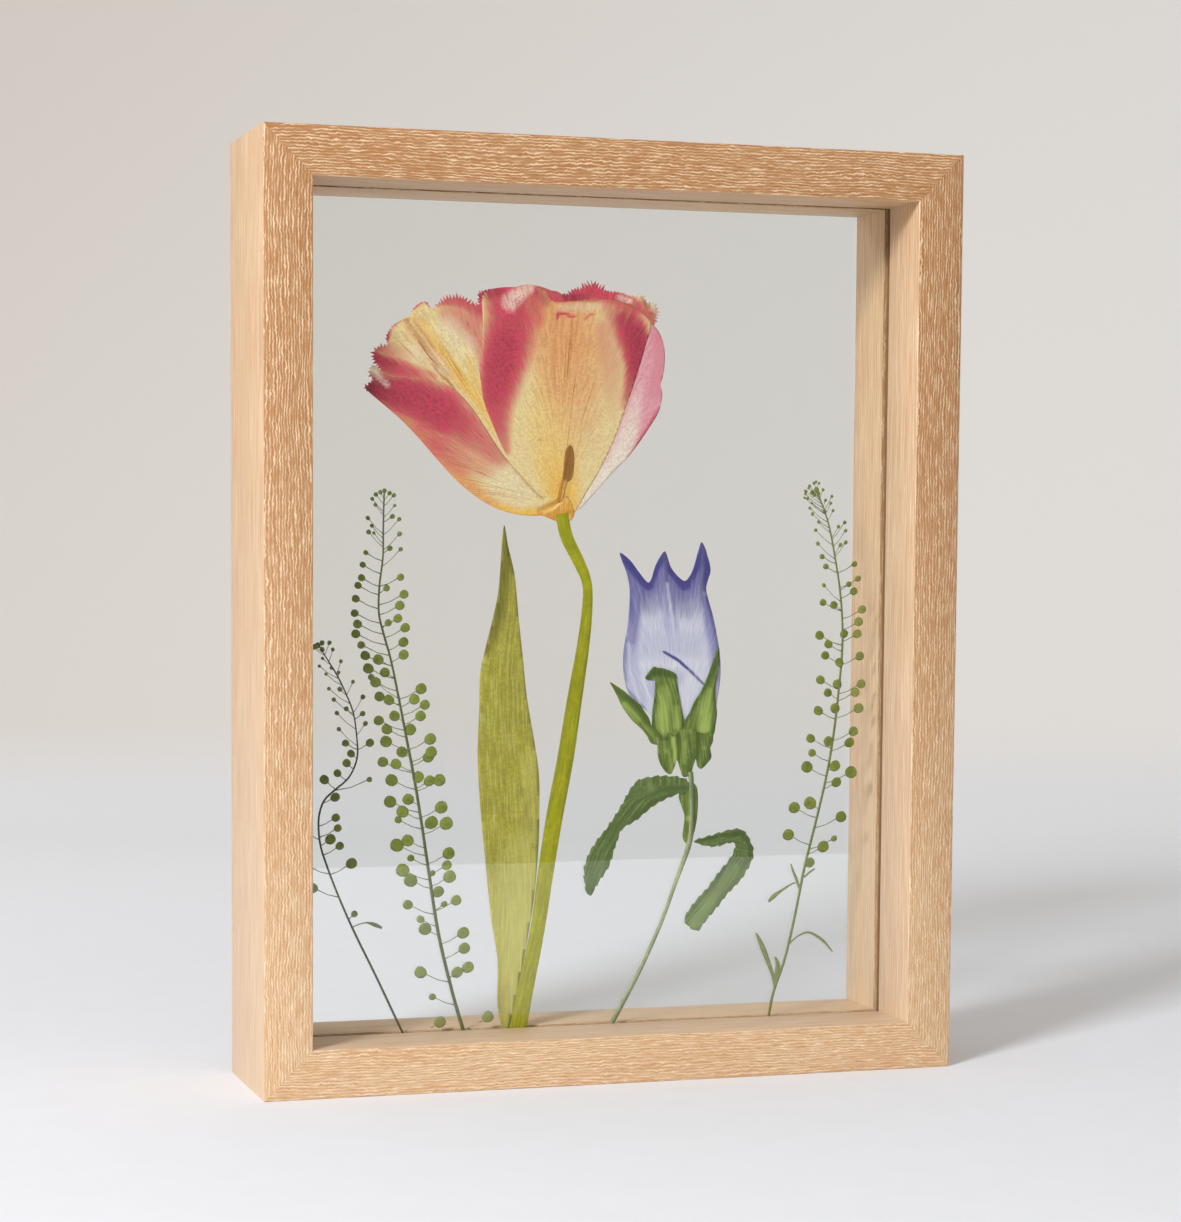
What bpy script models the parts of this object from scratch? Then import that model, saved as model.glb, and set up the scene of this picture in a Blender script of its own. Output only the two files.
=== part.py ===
"""Floating frame: a mitred wooden box frame that holds pressed plants between two panes.

X runs across the frame, Y from its front to its rear and Z up. The origin is at the middle of the
underside. The panes stand in a groove half-way through the depth, at Y = 0.
"""
import math

import bmesh
import bpy

MM = 0.001

# Driving dimensions, in millimetres.
WIDTH = 248.0
HEIGHT = 320.0
DEPTH = 56.0
FACE = 16.5             # width of a rail seen from the front
GROOVE_DEPTH = 6.0
ARRIS = 0.4             # chamfer along the rails' four long edges

GLASS_THICK = 1.5
GLASS_GAP = 1.2         # room between the panes for the plants
TAPE_THICK = 0.2
TAPE_LEG = 4.6          # how far the binding reaches over a pane

FIT = 0.3               # gap between pieces that touch
TAPE_FIT = 0.25         # gap between the binding and the panes

NAIL_LEG = 5.0
NAIL_THICK = 0.6
NAIL_LENGTH = 10.0
NAIL_PLACES = (3.6, 9.6)  # distance of each V-nail from the corner's outer edges

LAYER = 0.22            # the plants lie in a front and a rear layer, this far from Y = 0
PETAL_THICK = 0.15
STALK_THICK = 0.18
POD_THICKS = (0.1, 0.12, 0.14, 0.16)  # pods that overlap differ, so that no faces coincide
POD_STALK = 0.44         # width of the thin stalk that holds a pod
POD_SIDES = 8
SMALL_POD_SIDES = 6
LARGE_POD = 1.4         # radius from which a pod gets more sides
BLADE_THICK = 0.13      # small leaves on the sprigs

# Worked out from the dimensions above.
STACK_HALF = GLASS_GAP / 2 + GLASS_THICK
GROOVE_HALF = STACK_HALF + TAPE_FIT + TAPE_THICK + FIT
PANE_INSET = FACE - GROOVE_DEPTH + FIT + TAPE_THICK + TAPE_FIT
FRONT, REAR = -LAYER, LAYER


# Scene and materials

def clear_scene():
    for item in list(bpy.data.objects):
        bpy.data.objects.remove(item, do_unlink=True)


def make_material(name, color, roughness, metallic=0.0):
    material = bpy.data.materials.new(name)
    material.use_nodes = True
    shader = material.node_tree.nodes["Principled BSDF"]
    shader.inputs["Base Color"].default_value = (*color, 1.0)
    shader.inputs["Roughness"].default_value = roughness
    shader.inputs["Metallic"].default_value = metallic
    return material


def make_materials():
    return {
        "oak": make_material("oak", (0.62, 0.38, 0.19), 0.5),
        "glass": make_material("glass", (0.9, 0.94, 0.92), 0.03),
        "tape": make_material("tape", (0.11, 0.06, 0.035), 0.7),
        "steel": make_material("steel", (0.55, 0.56, 0.58), 0.35, 1.0),
        "petal_red": make_material("petal_red", (0.62, 0.12, 0.16), 0.75),
        "petal_cream": make_material("petal_cream", (0.84, 0.68, 0.33), 0.75),
        "petal_pink": make_material("petal_pink", (0.78, 0.45, 0.47), 0.75),
        "stamen": make_material("stamen", (0.38, 0.2, 0.06), 0.8),
        "stem_green": make_material("stem_green", (0.33, 0.34, 0.06), 0.7),
        "leaf_olive": make_material("leaf_olive", (0.42, 0.4, 0.12), 0.75),
        "petal_blue": make_material("petal_blue", (0.38, 0.34, 0.66), 0.75),
        "leaf_green": make_material("leaf_green", (0.16, 0.25, 0.07), 0.75),
        "pod_green": make_material("pod_green", (0.2, 0.26, 0.05), 0.7),
    }


def link_object(name, mesh, material):
    item = bpy.data.objects.new(name, mesh)
    if material is not None:
        mesh.materials.append(material)
    bpy.context.scene.collection.objects.link(item)
    return item


def mesh_from(name, bm):
    bmesh.ops.recalc_face_normals(bm, faces=bm.faces[:])
    mesh = bpy.data.meshes.new(name)
    bm.to_mesh(mesh)
    bm.free()
    return mesh


def add_prism(bm, outline, thickness):
    """Add a plate to bm: an outline of (x, z) points, given its thickness either side of Y = 0."""
    half = thickness / 2 * MM
    verts = [bm.verts.new((x * MM, -half, z * MM)) for x, z in outline]
    face = bm.faces.new(verts)
    grown = bmesh.ops.extrude_face_region(bm, geom=[face], use_keep_orig=True)
    far = [v for v in grown["geom"] if isinstance(v, bmesh.types.BMVert)]
    bmesh.ops.translate(bm, verts=far, vec=(0, 2 * half, 0))


# Rails, binding and panes. Each side's local X runs along it and its local Z points into the frame.

SIDES = {
    "bottom": (WIDTH, (0, 0), 0),
    "top": (WIDTH, (0, HEIGHT), 180),
    "left": (HEIGHT, (-WIDTH / 2, HEIGHT / 2), 90),
    "right": (HEIGHT, (WIDTH / 2, HEIGHT / 2), -90),
}


def place_on_side(item, side):
    _, (x, z), turn = SIDES[side]
    item.location = (x * MM, 0, z * MM)
    item.rotation_euler = (0, math.radians(turn), 0)


def add_profile_run(bm, profile, end_at):
    """Run a closed (y, z) profile along X; end_at gives each point's distance from the middle."""
    near = [bm.verts.new((-end_at(z) * MM, y * MM, z * MM)) for y, z in profile]
    far = [bm.verts.new((end_at(z) * MM, y * MM, z * MM)) for y, z in profile]
    bm.faces.new(near)
    bm.faces.new(list(reversed(far)))
    count = len(profile)
    for i in range(count):
        j = (i + 1) % count
        bm.faces.new((near[j], near[i], far[i], far[j]))


def make_rail(name, side, pockets, material):
    edge = DEPTH / 2
    trim = edge - ARRIS
    floor = FACE - GROOVE_DEPTH
    profile = (
        (-trim, 0), (trim, 0), (edge, ARRIS), (edge, FACE - ARRIS), (trim, FACE),
        (GROOVE_HALF, FACE), (GROOVE_HALF, floor), (-GROOVE_HALF, floor), (-GROOVE_HALF, FACE),
        (-trim, FACE), (-edge, FACE - ARRIS), (-edge, ARRIS),
    )
    length = SIDES[side][0]
    mitre_gap = FIT / 2 * math.sqrt(2)
    bm = bmesh.new()
    add_profile_run(bm, profile, lambda z: length / 2 - z - mitre_gap)
    rail = link_object(name, mesh_from(name, bm), material)
    place_on_side(rail, side)
    cut = rail.modifiers.new("v_nail_pockets", "BOOLEAN")
    cut.operation = "DIFFERENCE"
    cut.solver = "EXACT"
    cut.object = pockets
    return rail


def make_tape(name, side, material):
    """A U-shaped strip over the panes' edges; the side strips run full height."""
    outer = STACK_HALF + TAPE_FIT + TAPE_THICK
    inner = STACK_HALF + TAPE_FIT
    base = FACE - GROOVE_DEPTH + FIT
    tip = base + TAPE_THICK + TAPE_LEG
    seat = base + TAPE_THICK
    profile = (
        (-outer, base), (outer, base), (outer, tip), (inner, tip),
        (inner, seat), (-inner, seat), (-inner, tip), (-outer, tip),
    )
    half = SIDES[side][0] / 2 - base
    if side in ("bottom", "top"):
        half -= tip - base + FIT
    bm = bmesh.new()
    add_profile_run(bm, profile, lambda z: half)
    tape = link_object(name, mesh_from(name, bm), material)
    place_on_side(tape, side)
    return tape


def make_pane(name, y_middle, material):
    bm = bmesh.new()
    x, low, high = WIDTH / 2 - PANE_INSET, PANE_INSET, HEIGHT - PANE_INSET
    add_prism(bm, ((-x, low), (x, low), (x, high), (-x, high)), GLASS_THICK)
    pane = link_object(name, mesh_from(name, bm), material)
    pane.location = (0, y_middle * MM, 0)
    return pane


# V-nails, driven into the mitres from the rear

def corner_places():
    for x_side, x_name in ((-1, "left"), (1, "right")):
        for z_side, z_name in ((-1, "bottom"), (1, "top")):
            for number, inset in enumerate(NAIL_PLACES, 1):
                yield f"v_nail_{z_name}_{x_name}_{number}", x_side, z_side, inset


def v_outline(x_side, z_side, inset, grow):
    """An L of two equal legs whose outer corner points at the frame's corner."""
    low = inset - NAIL_THICK / 2 - grow
    high = inset + NAIL_THICK / 2 + grow
    end = inset + NAIL_LEG + grow
    corner = ((low, low), (end, low), (end, high), (high, high), (high, end), (low, end))
    z_middle = HEIGHT / 2
    return [
        (x_side * (WIDTH / 2 - a), z_middle + z_side * (z_middle - b)) for a, b in corner
    ]


def make_nails(material):
    middle = DEPTH / 2 - FIT - NAIL_LENGTH / 2
    for name, x_side, z_side, inset in corner_places():
        bm = bmesh.new()
        add_prism(bm, v_outline(x_side, z_side, inset, 0), NAIL_LENGTH)
        nail = link_object(name, mesh_from(name, bm), material)
        nail.location = (0, middle * MM, 0)


def make_pockets():
    """The cutter for every V-nail's pocket, open at the rear face."""
    bm = bmesh.new()
    for _, x_side, z_side, inset in corner_places():
        add_prism(bm, v_outline(x_side, z_side, inset, FIT), NAIL_LENGTH + 4 * FIT)
    pockets = link_object("v_nail_pockets", mesh_from("v_nail_pockets", bm), None)
    pockets.location = (0, (DEPTH / 2 + FIT - NAIL_LENGTH / 2) * MM, 0)
    pockets.hide_render = True
    pockets.display_type = "WIRE"
    return pockets


# Pressed plants: outlines and middle lines of (x, z) points chosen by hand

def smooth_loop(points, steps=2):
    """A closed curve through the points (Catmull-Rom)."""
    result = []
    count = len(points)
    for i in range(count):
        a, b, c, d = (points[(i + k) % count] for k in (-1, 0, 1, 2))
        for s in range(steps):
            result.append(tuple(curve_point(a[k], b[k], c[k], d[k], s / steps) for k in range(2)))
    return result


def curve_point(a, b, c, d, t):
    return 0.5 * (
        2 * b + (c - a) * t + (2 * a - 5 * b + 4 * c - d) * t**2 + (3 * b - a - 3 * c + d) * t**3
    )


def strip_outline(spine):
    """The outline of a tapering strip from its (x, z, width) middle points."""
    left, right = [], []
    for i, (x, z, width) in enumerate(spine):
        before, after = spine[max(i - 1, 0)], spine[min(i + 1, len(spine) - 1)]
        run_x, run_z = after[0] - before[0], after[1] - before[1]
        reach = width / 2 / math.hypot(run_x, run_z)
        left.append((x - run_z * reach, z + run_x * reach))
        right.append((x + run_z * reach, z - run_x * reach))
    return left + right[::-1]


def make_plate(name, outline, layer, material, thickness=PETAL_THICK):
    bm = bmesh.new()
    add_prism(bm, outline, thickness)
    plate = link_object(name, mesh_from(name, bm), material)
    plate.location = (0, layer * MM, 0)
    return plate


TULIP_PETALS = {
    # Front layer
    "tulip_petal_front": (FRONT, "petal_cream", (
        (-10.2, 201.6), (-15.2, 201.5), (-20.5, 204.8), (-27, 210), (-33, 216.2), (-38, 223),
        (-41.5, 232), (-43, 244), (-42.3, 254), (-43.2, 264), (-40, 270), (-33, 271.4),
        (-26, 272), (-19, 270.6), (-12, 269.4), (-4, 271), (5, 270.8), (13, 268.6),
        (19.4, 264.5), (18.4, 257), (15.6, 248.5), (12, 238.5), (8, 227.5), (4, 217.5),
        (-1, 208), (-6, 202),
    )),
    "tulip_petal_low_left": (FRONT, "petal_red", (
        (-83.2, 236.8), (-81, 240), (-80.6, 243.4), (-76, 242), (-70, 240.8), (-60, 240.4),
        (-54, 238), (-48, 233), (-41.5, 226), (-34.5, 216), (-27.6, 208.8), (-21.2, 203.6),
        (-17.4, 200.6), (-21.6, 195.4), (-30, 194.4), (-38, 196.6), (-45, 200.6), (-52, 206.6),
        (-60, 215), (-70, 226), (-78, 232.6),
    )),
    # Rear layer: four petals that fan out from the receptacle
    "tulip_petal_inner_left": (REAR, "petal_cream", (
        (-80, 248), (-76.5, 252.5), (-73, 258), (-67, 262.5), (-62.5, 265.5), (-55, 267),
        (-46.6, 267.2), (-42, 250), (-34.6, 230), (-24.2, 210), (-20, 202.4), (-27, 204),
        (-45, 218), (-62, 235),
    )),
    "tulip_petal_back_left": (REAR, "petal_red", (
        (-45.2, 268.2), (-40, 270.6), (-33, 271.8), (-25.5, 272.4), (-21.4, 270.6), (-20, 250),
        (-18.4, 230), (-16.8, 204.6), (-18.4, 203.4), (-22.6, 210), (-33, 230), (-40.6, 250),
    )),
    "tulip_petal_back_right": (REAR, "petal_red", (
        (-19.8, 270), (-12, 270.2), (-7, 273), (-2, 275), (3, 271.8), (11, 270.2), (18, 267.4),
        (20.6, 262.5), (16.5, 248), (9.5, 228), (1, 211), (-6.6, 202.2), (-8, 212),
        (-11, 222), (-15.4, 232), (-18.6, 250),
    )),
    "tulip_petal_right": (REAR, "petal_pink", (
        (21.2, 261), (23.4, 254), (23.6, 247), (22.6, 240), (22.8, 235), (20, 228), (13, 217.5),
        (6, 209), (-3, 199.8), (-7.6, 196.8), (-6, 201.4), (1.8, 210.6), (10.4, 227.6),
        (17.4, 247.6),
    )),
}

TULIP_STAMEN = (
    (-15.4, 198.4), (-14.2, 203), (-12.9, 207.4), (-12.6, 213), (-11.2, 218.2), (-9.9, 217),
    (-9.4, 212), (-10, 207.6), (-11.3, 206.6), (-12.7, 202.4), (-14, 198.2),
)
TULIP_RECEPTACLE = (
    (-20.2, 195.4), (-16, 193.6), (-10, 193.7), (-9.2, 196.4), (-10.5, 200.5), (-14.4, 200.4),
    (-17.2, 198.8),
)
TULIP_STEM = (
    (-13, 192.8, 4.8), (-11.4, 186.6, 4.6), (-6.9, 178, 4.2), (-4.2, 171.5, 3.6), (-3.8, 164, 3.8),
    (-5.2, 150, 4.6), (-8.4, 130, 5.6), (-11.5, 110, 6.1), (-15.3, 90, 6.2), (-18.5, 70, 5.9),
    (-21.4, 50, 5.4), (-25.5, 30, 6), (-28, 17, 6.4),
)
TULIP_LEAF = (
    (-34, 191), (-32.6, 184), (-30.2, 174), (-28.7, 160), (-27, 145), (-25.4, 131),
    (-22.5, 115), (-20.9, 104), (-20.7, 90), (-21.2, 75), (-23, 58), (-26.5, 38), (-31.2, 17),
    (-34, 17), (-35.6, 26), (-35.6, 40), (-38, 55), (-40.4, 77), (-42.2, 95), (-43.1, 112),
    (-42.6, 128), (-42.2, 141), (-38.6, 156), (-36, 168), (-34.9, 182),
)

BELL_PLATES = {
    "bell_corolla": (REAR, "petal_blue", (
        (8, 181.6), (12.6, 178.2), (18.6, 171.2), (21, 176.6), (24.6, 182.2), (27, 176.6),
        (32.2, 171.8), (35.6, 177), (38.2, 185.4), (40.8, 180), (41.8, 175), (40.2, 169),
        (42.6, 160.5), (44.8, 151), (46, 141), (45, 131), (42.5, 122.5), (33, 119.6),
        (24, 120.6), (18, 126.6), (12.6, 131), (10, 138), (9.6, 147), (11.2, 157), (11.8, 168),
        (10.4, 175),
    )),
    "bell_sepal_left": (FRONT, "leaf_green", (
        (4.8, 135.8), (9.6, 132.6), (13.4, 129.6), (18.4, 125.6), (20.4, 121), (23.4, 116.8),
        (21.2, 115.6), (17, 120), (11.6, 126.4),
    )),
    "bell_sepal_middle": (FRONT, "leaf_green", (
        (18.2, 135.8), (22.4, 140.2), (28.8, 136), (31, 129.6), (32.4, 122.4), (30.6, 117.8),
        (25.6, 117.6), (22, 121), (22.2, 134),
    )),
    "bell_sepal_right": (FRONT, "leaf_green", (
        (45.6, 145.6), (41.2, 137.4), (37, 128.6), (33.6, 122.4), (35.8, 119.6), (39.8, 118),
        (44.2, 119), (44.9, 127), (44.2, 138),
    )),
    "bell_calyx": (FRONT, "leaf_green", (
        (25, 116.2), (30.6, 116.2), (34.4, 118), (38.6, 116.8), (41.6, 115), (43.2, 111.6),
        (42.4, 107.6), (39.6, 106.2), (37, 107.2), (35.2, 104.9), (32.2, 104.9), (29, 105.4),
        (25, 107), (22.9, 111),
    )),
    "bell_leaf_left": (FRONT, "leaf_green", (
        (33.4, 101), (26.6, 102.6), (18.4, 102), (14.2, 100), (9.6, 92.4), (4, 84.4), (-0.4, 79),
        (-3.6, 71.4), (-2.6, 62.6), (0.4, 66.8), (4.6, 73.2), (8.4, 84.4), (14.2, 88.4),
        (21.2, 93.6), (28, 96.8), (33, 98.2),
    )),
    "bell_leaf_right": (FRONT, "leaf_green", (
        (36.6, 79.8), (43, 81.8), (53.4, 83.8), (57.8, 79.2), (58.8, 73.6), (54.2, 65.8),
        (49, 60.6), (46, 56.8), (41, 51.4), (37.8, 48), (33.2, 51.8), (36.4, 57.4), (41.4, 62.8),
        (46, 68.6), (51, 74.6), (51.4, 79.2), (44, 77.8),
    )),
    "bell_bract": (REAR, "leaf_green", (
        (36.8, 99.4), (37.4, 92), (36.4, 84), (34.4, 79.4), (32.6, 81.8), (33.2, 89), (31, 96),
        (33.4, 99.6),
    )),
}
BELL_STEM = (
    (34.8, 104.5, 2.2), (35.4, 98, 1.8), (35.5, 88, 1.8), (34.6, 79, 2), (30, 66.4, 1.6),
    (24.6, 52, 1.5), (18.2, 38, 1.6), (12.4, 27, 1.7), (6.6, 17, 2),
)

# Each sprig is a stalk of (x, z, width) points, pods of (x, z, radius) and small leaves, whose
# (x, z, width) points start on the stalk.
SPRIGS = {
    "sprig_left": (REAR, (
        (-99.4, 150.4, 0.5), (-97, 146.4, 0.5), (-93, 140, 0.6), (-90, 134, 0.6), (-87.2, 127, 0.6),
        (-86, 119, 0.6), (-85.8, 111.6, 0.7), (-88.6, 105, 0.7), (-93.4, 100.8, 0.8),
        (-97.4, 97, 0.8), (-99.2, 91, 0.8), (-98.8, 83, 0.8), (-96.8, 76, 0.8),
        (-92.2, 64, 0.8), (-86.6, 51.4, 0.9), (-79, 36, 0.9), (-70.2, 17.4, 1),
    ), (
        (-100.4, 149.6, 1), (-98, 150.8, 1), (-83.9, 126.6, 1), (-89.9, 116.6, 1.3),
        (-81.3, 116.6, 1.5), (-88, 113, 1.4), (-89.5, 109.8, 1.5), (-92.7, 106.4, 1.4),
        (-97.3, 104.3, 1.7), (-81.5, 104, 1), (-93.4, 98.2, 1.7), (-93.2, 91.2, 1.5),
        (-92.5, 87.6, 1.4), (-95.1, 83.9, 1.9), (-91.8, 81.5, 1.5), (-87.7, 75.4, 2),
        (-101.4, 67.3, 1.9), (-86.7, 58, 1.2),
    ), (
        ((-87.6, 53.2, 0.5), (-86, 54, 0.5), (-82.6, 54.8, 0.7), (-79, 53.8, 1.4), (-77, 52.8, 1)),
    )),
    "sprig_middle": (FRONT, (
        (-76.6, 202, 0.6), (-76.9, 190, 0.7), (-77, 180, 0.7), (-78.2, 170, 0.8),
        (-78.4, 161, 0.8), (-76.8, 154, 0.9), (-74.2, 145, 0.9), (-71.4, 132, 1),
        (-68.8, 119, 1.1), (-66, 105, 1.2), (-63.4, 90, 1.2), (-60.6, 72, 1.3),
        (-57, 50, 1.4), (-52, 29.6, 1.4), (-48.4, 17.4, 1.6),
    ), (
        (-79.5, 200.6, 1), (-74, 201, 1), (-73.7, 193.6, 1), (-74.6, 182.8, 1.1), (-83, 181.3, 1),
        (-84.1, 177.2, 1.1), (-84.5, 172.8, 1.3), (-70.8, 173, 1.3), (-85.7, 170.2, 1.3),
        (-75.7, 169.3, 1.2), (-69.5, 167.2, 1.6), (-86.5, 165.7, 1.4), (-71, 163.4, 1.7),
        (-86.9, 160.8, 1.4), (-71.7, 159, 1.6), (-75.1, 157.5, 1.3), (-85.9, 157.1, 1.6),
        (-69.1, 155.8, 1.7), (-86.5, 153.8, 1.6), (-69.7, 150.9, 1.8), (-84.6, 150, 1.4),
        (-69.6, 146.6, 1.8), (-83.2, 146.4, 1.7), (-78.6, 145, 1.9), (-82.1, 142, 1.9),
        (-76.3, 140.6, 1.8), (-79.6, 137.3, 1.9), (-63.4, 134.9, 2), (-78.2, 132.4, 1.8),
        (-74.9, 131.2, 1.9), (-65.8, 131.3, 1.9), (-62.1, 129.4, 1.8), (-63.6, 125.6, 1.9),
        (-72.9, 125.7, 1.9), (-78.4, 124.2, 1.8), (-67.2, 121, 2.1), (-75.6, 121.2, 1.9),
        (-60.1, 117.6, 2.1), (-75.9, 117, 2.1), (-59.8, 113.1, 2.1), (-70.2, 113.3, 2),
        (-77, 110, 1.9), (-72.3, 109.2, 1.9), (-64.4, 104.6, 2.1), (-60.4, 103.2, 2),
        (-56.8, 103.4, 2.2), (-73.9, 103.7, 2.2), (-74.4, 96.3, 2.2), (-68, 97, 2.1),
        (-70, 92.8, 2.2), (-56.1, 94, 2.3), (-59.6, 88.8, 2.4), (-54.3, 88.4, 2.4),
        (-72, 81.3, 2.4), (-68.2, 82.8, 2.2), (-53.4, 78, 2.2), (-67, 76.7, 1.3),
        (-54.1, 73.9, 1.8), (-69.9, 72.6, 2.4), (-59.2, 71.3, 1.1), (-53, 69.9, 2.3),
        (-67.1, 69, 2.4), (-57.1, 64.8, 2.1), (-50.7, 61.6, 1.9), (-68, 60.6, 1.8),
        (-55, 60.4, 1.2), (-63.5, 55.4, 1.4), (-61.9, 52, 2.3), (-48.1, 50.2, 2.2),
        (-47.7, 44.8, 2.1), (-63.5, 37, 2.2), (-50.3, 36.5, 2.1), (-46.4, 38.1, 2.2),
        (-59.2, 28.3, 1.3),
    ), ()),
    "sprig_right": (FRONT, (
        (81.2, 204.4, 0.8), (83.2, 200, 0.7), (85.6, 194, 0.7), (87.4, 187.4, 0.8),
        (89.2, 178.6, 0.8), (90.8, 169.6, 0.9), (92, 158, 0.9), (92.1, 147, 1),
        (91, 133, 1), (89.4, 118.4, 1.1), (87, 103.6, 1.1), (83.4, 88, 1.1), (78.6, 69, 1.2),
        (75.2, 52, 1.2), (71.6, 37, 1.2), (67.4, 25, 1.2), (65.8, 17.4, 1.2),
    ), (
        (83.9, 180.5, 1), (85.4, 177, 1.1), (96.5, 177.9, 1.1), (97.9, 172.7, 1.2),
        (94.4, 170.7, 1.1), (96.3, 168.2, 1.5), (84.5, 164.2, 1.3), (88.6, 163.3, 1.5),
        (99.6, 161.7, 1.6), (98.4, 157.3, 1.7), (92.8, 153, 1.6), (83.3, 152.5, 1.7),
        (97.9, 153, 1.7), (86.7, 149.3, 1.6), (85.6, 145.3, 1.6), (99, 145, 1.7),
        (91, 142.8, 1.7), (83.8, 136.6, 1.7), (90.4, 135, 1.8), (99.7, 135, 1.7),
        (86.8, 132, 1.6), (97.4, 132, 1.7), (89.6, 126.4, 1.9), (98.8, 126.3, 1.9),
        (83.1, 125.6, 1.8), (97, 118, 1.8), (80.3, 115.7, 1.7), (87.2, 114.6, 1.9),
        (95.5, 114, 1.9), (81, 110.5, 1.5), (79.1, 105.5, 2.2), (90, 105.7, 2.1),
        (96.3, 103.3, 2.3), (90.6, 99.8, 1.9), (80.4, 92.5, 2.4), (74.4, 91, 2.2),
        (92.6, 87.3, 2.1), (72.2, 81.3, 2.2), (85.9, 76.7, 2.2), (80.8, 71.1, 1.9),
    ), (
        ((77.2, 62.6, 0.6), (75.2, 64, 0.5), (70.4, 61.6, 0.9), (66.6, 59, 1.6), (65, 57.4, 0.7)),
        ((76.8, 61.6, 0.6), (75.8, 64.8, 1), (74.4, 68, 0.9), (73.4, 70.8, 0.5)),
        ((78.6, 65.8, 0.6), (80.4, 67.4, 0.8), (82.7, 68.8, 0.5)),
        ((73, 41.8, 0.5), (76.4, 44.6, 0.6), (80.8, 45.8, 0.8), (86, 42.9, 1), (90, 38.5, 0.4)),
        ((67.7, 26, 0.6), (67.2, 30, 1.2), (65.6, 34.6, 1.6), (63, 41, 1.9), (60.4, 46.4, 0.8)),
        ((67.6, 26, 0.8), (68.5, 31, 1.9), (68.9, 34.6, 1.8), (67.7, 37.6, 0.6)),
    )),
}
LOOSE_PODS = {
    "loose_pod_left": (-56.3, 19.4, 2.1),
    "loose_pod_right": (-39.1, 20.5, 2.1),
}


def stalk_x(spine, z):
    """Where the stalk's middle line is at a height."""
    for (x_high, z_high, _), (x_low, z_low, _) in zip(spine, spine[1:]):
        if z_low <= z <= z_high:
            return x_low + (x_high - x_low) * (z - z_low) / (z_high - z_low)
    return spine[0][0] if z > spine[0][1] else spine[-1][0]


def pod_outline(x, z, radius, root):
    """A pod with its thin stalk, as one outline from the pod round to the root."""
    sides = POD_SIDES if radius >= LARGE_POD else SMALL_POD_SIDES
    toward = math.atan2(root[1] - z, root[0] - x)
    half = POD_STALK / 2
    ring = [
        (x + radius * math.cos(toward + a), z + radius * math.sin(toward + a))
        for a in (math.tau * (k + 0.5) / sides for k in range(sides))
    ]
    side_x, side_z = -math.sin(toward) * half, math.cos(toward) * half
    return [(root[0] + side_x, root[1] + side_z), *ring, (root[0] - side_x, root[1] - side_z)]


def make_sprig(name, layer, spine, pods, leaves, stalk_material):
    """A stalk that its pods and leaves are joined to by a Boolean union."""
    sprig = make_plate(name, strip_outline(spine), layer, stalk_material, STALK_THICK)
    bm = bmesh.new()
    for number, (x, z, radius) in enumerate(pods):
        reach = abs(x - stalk_x(spine, z))
        root_z = max(z - 1 - 0.3 * reach, spine[-1][1] + 1)
        root = (stalk_x(spine, root_z), root_z)
        add_prism(bm, pod_outline(x, z, radius, root), POD_THICKS[number % len(POD_THICKS)])
    for leaf in leaves:
        add_prism(bm, strip_outline(leaf), BLADE_THICK)
    guide = link_object(name + "_pods", mesh_from(name + "_pods", bm), None)
    guide.location = sprig.location
    guide.hide_render = True
    guide.display_type = "WIRE"
    union = sprig.modifiers.new("pods", "BOOLEAN")
    union.operation = "UNION"
    union.solver = "EXACT"
    union.use_self = True
    union.object = guide
    return sprig


def make_plants(materials):
    for name, (layer, color, points) in {**TULIP_PETALS, **BELL_PLATES}.items():
        make_plate(name, smooth_loop(points), layer, materials[color])
    make_plate("tulip_stamen", smooth_loop(TULIP_STAMEN), REAR, materials["stamen"])
    make_plate("tulip_receptacle", smooth_loop(TULIP_RECEPTACLE), FRONT, materials["stamen"])
    make_plate("tulip_stem", strip_outline(TULIP_STEM), FRONT, materials["stem_green"], STALK_THICK)
    make_plate("tulip_leaf", smooth_loop(TULIP_LEAF), REAR, materials["leaf_olive"])
    make_plate("bell_stem", strip_outline(BELL_STEM), FRONT, materials["leaf_green"], STALK_THICK)
    for name, (layer, spine, pods, leaves) in SPRIGS.items():
        make_sprig(name, layer, spine, pods, leaves, materials["pod_green"])
    for name, (x, z, radius) in LOOSE_PODS.items():
        ring = [(x + radius * math.cos(a), z + radius * math.sin(a))
                for a in (math.tau * k / 12 for k in range(12))]
        make_plate(name, ring, FRONT, materials["pod_green"])


def main():
    clear_scene()
    materials = make_materials()
    pockets = make_pockets()
    make_rail("rail_bottom", "bottom", pockets, materials["oak"])
    make_rail("rail_top", "top", pockets, materials["oak"])
    make_rail("stile_left", "left", pockets, materials["oak"])
    make_rail("stile_right", "right", pockets, materials["oak"])
    make_nails(materials["steel"])
    pane_middle = GLASS_GAP / 2 + GLASS_THICK / 2
    make_pane("glass_front", -pane_middle, materials["glass"])
    make_pane("glass_rear", pane_middle, materials["glass"])
    for side in SIDES:
        make_tape("edge_tape_" + side, side, materials["tape"])
    make_plants(materials)


main()
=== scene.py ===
"""Looks of the floating frame: oak rails, two panes, and the pressed plants held between them.

X runs across the frame, Y from its front to its rear and Z up. Plants lie in the XZ plane, and
their points are given in millimetres as (x, z).
"""

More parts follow.
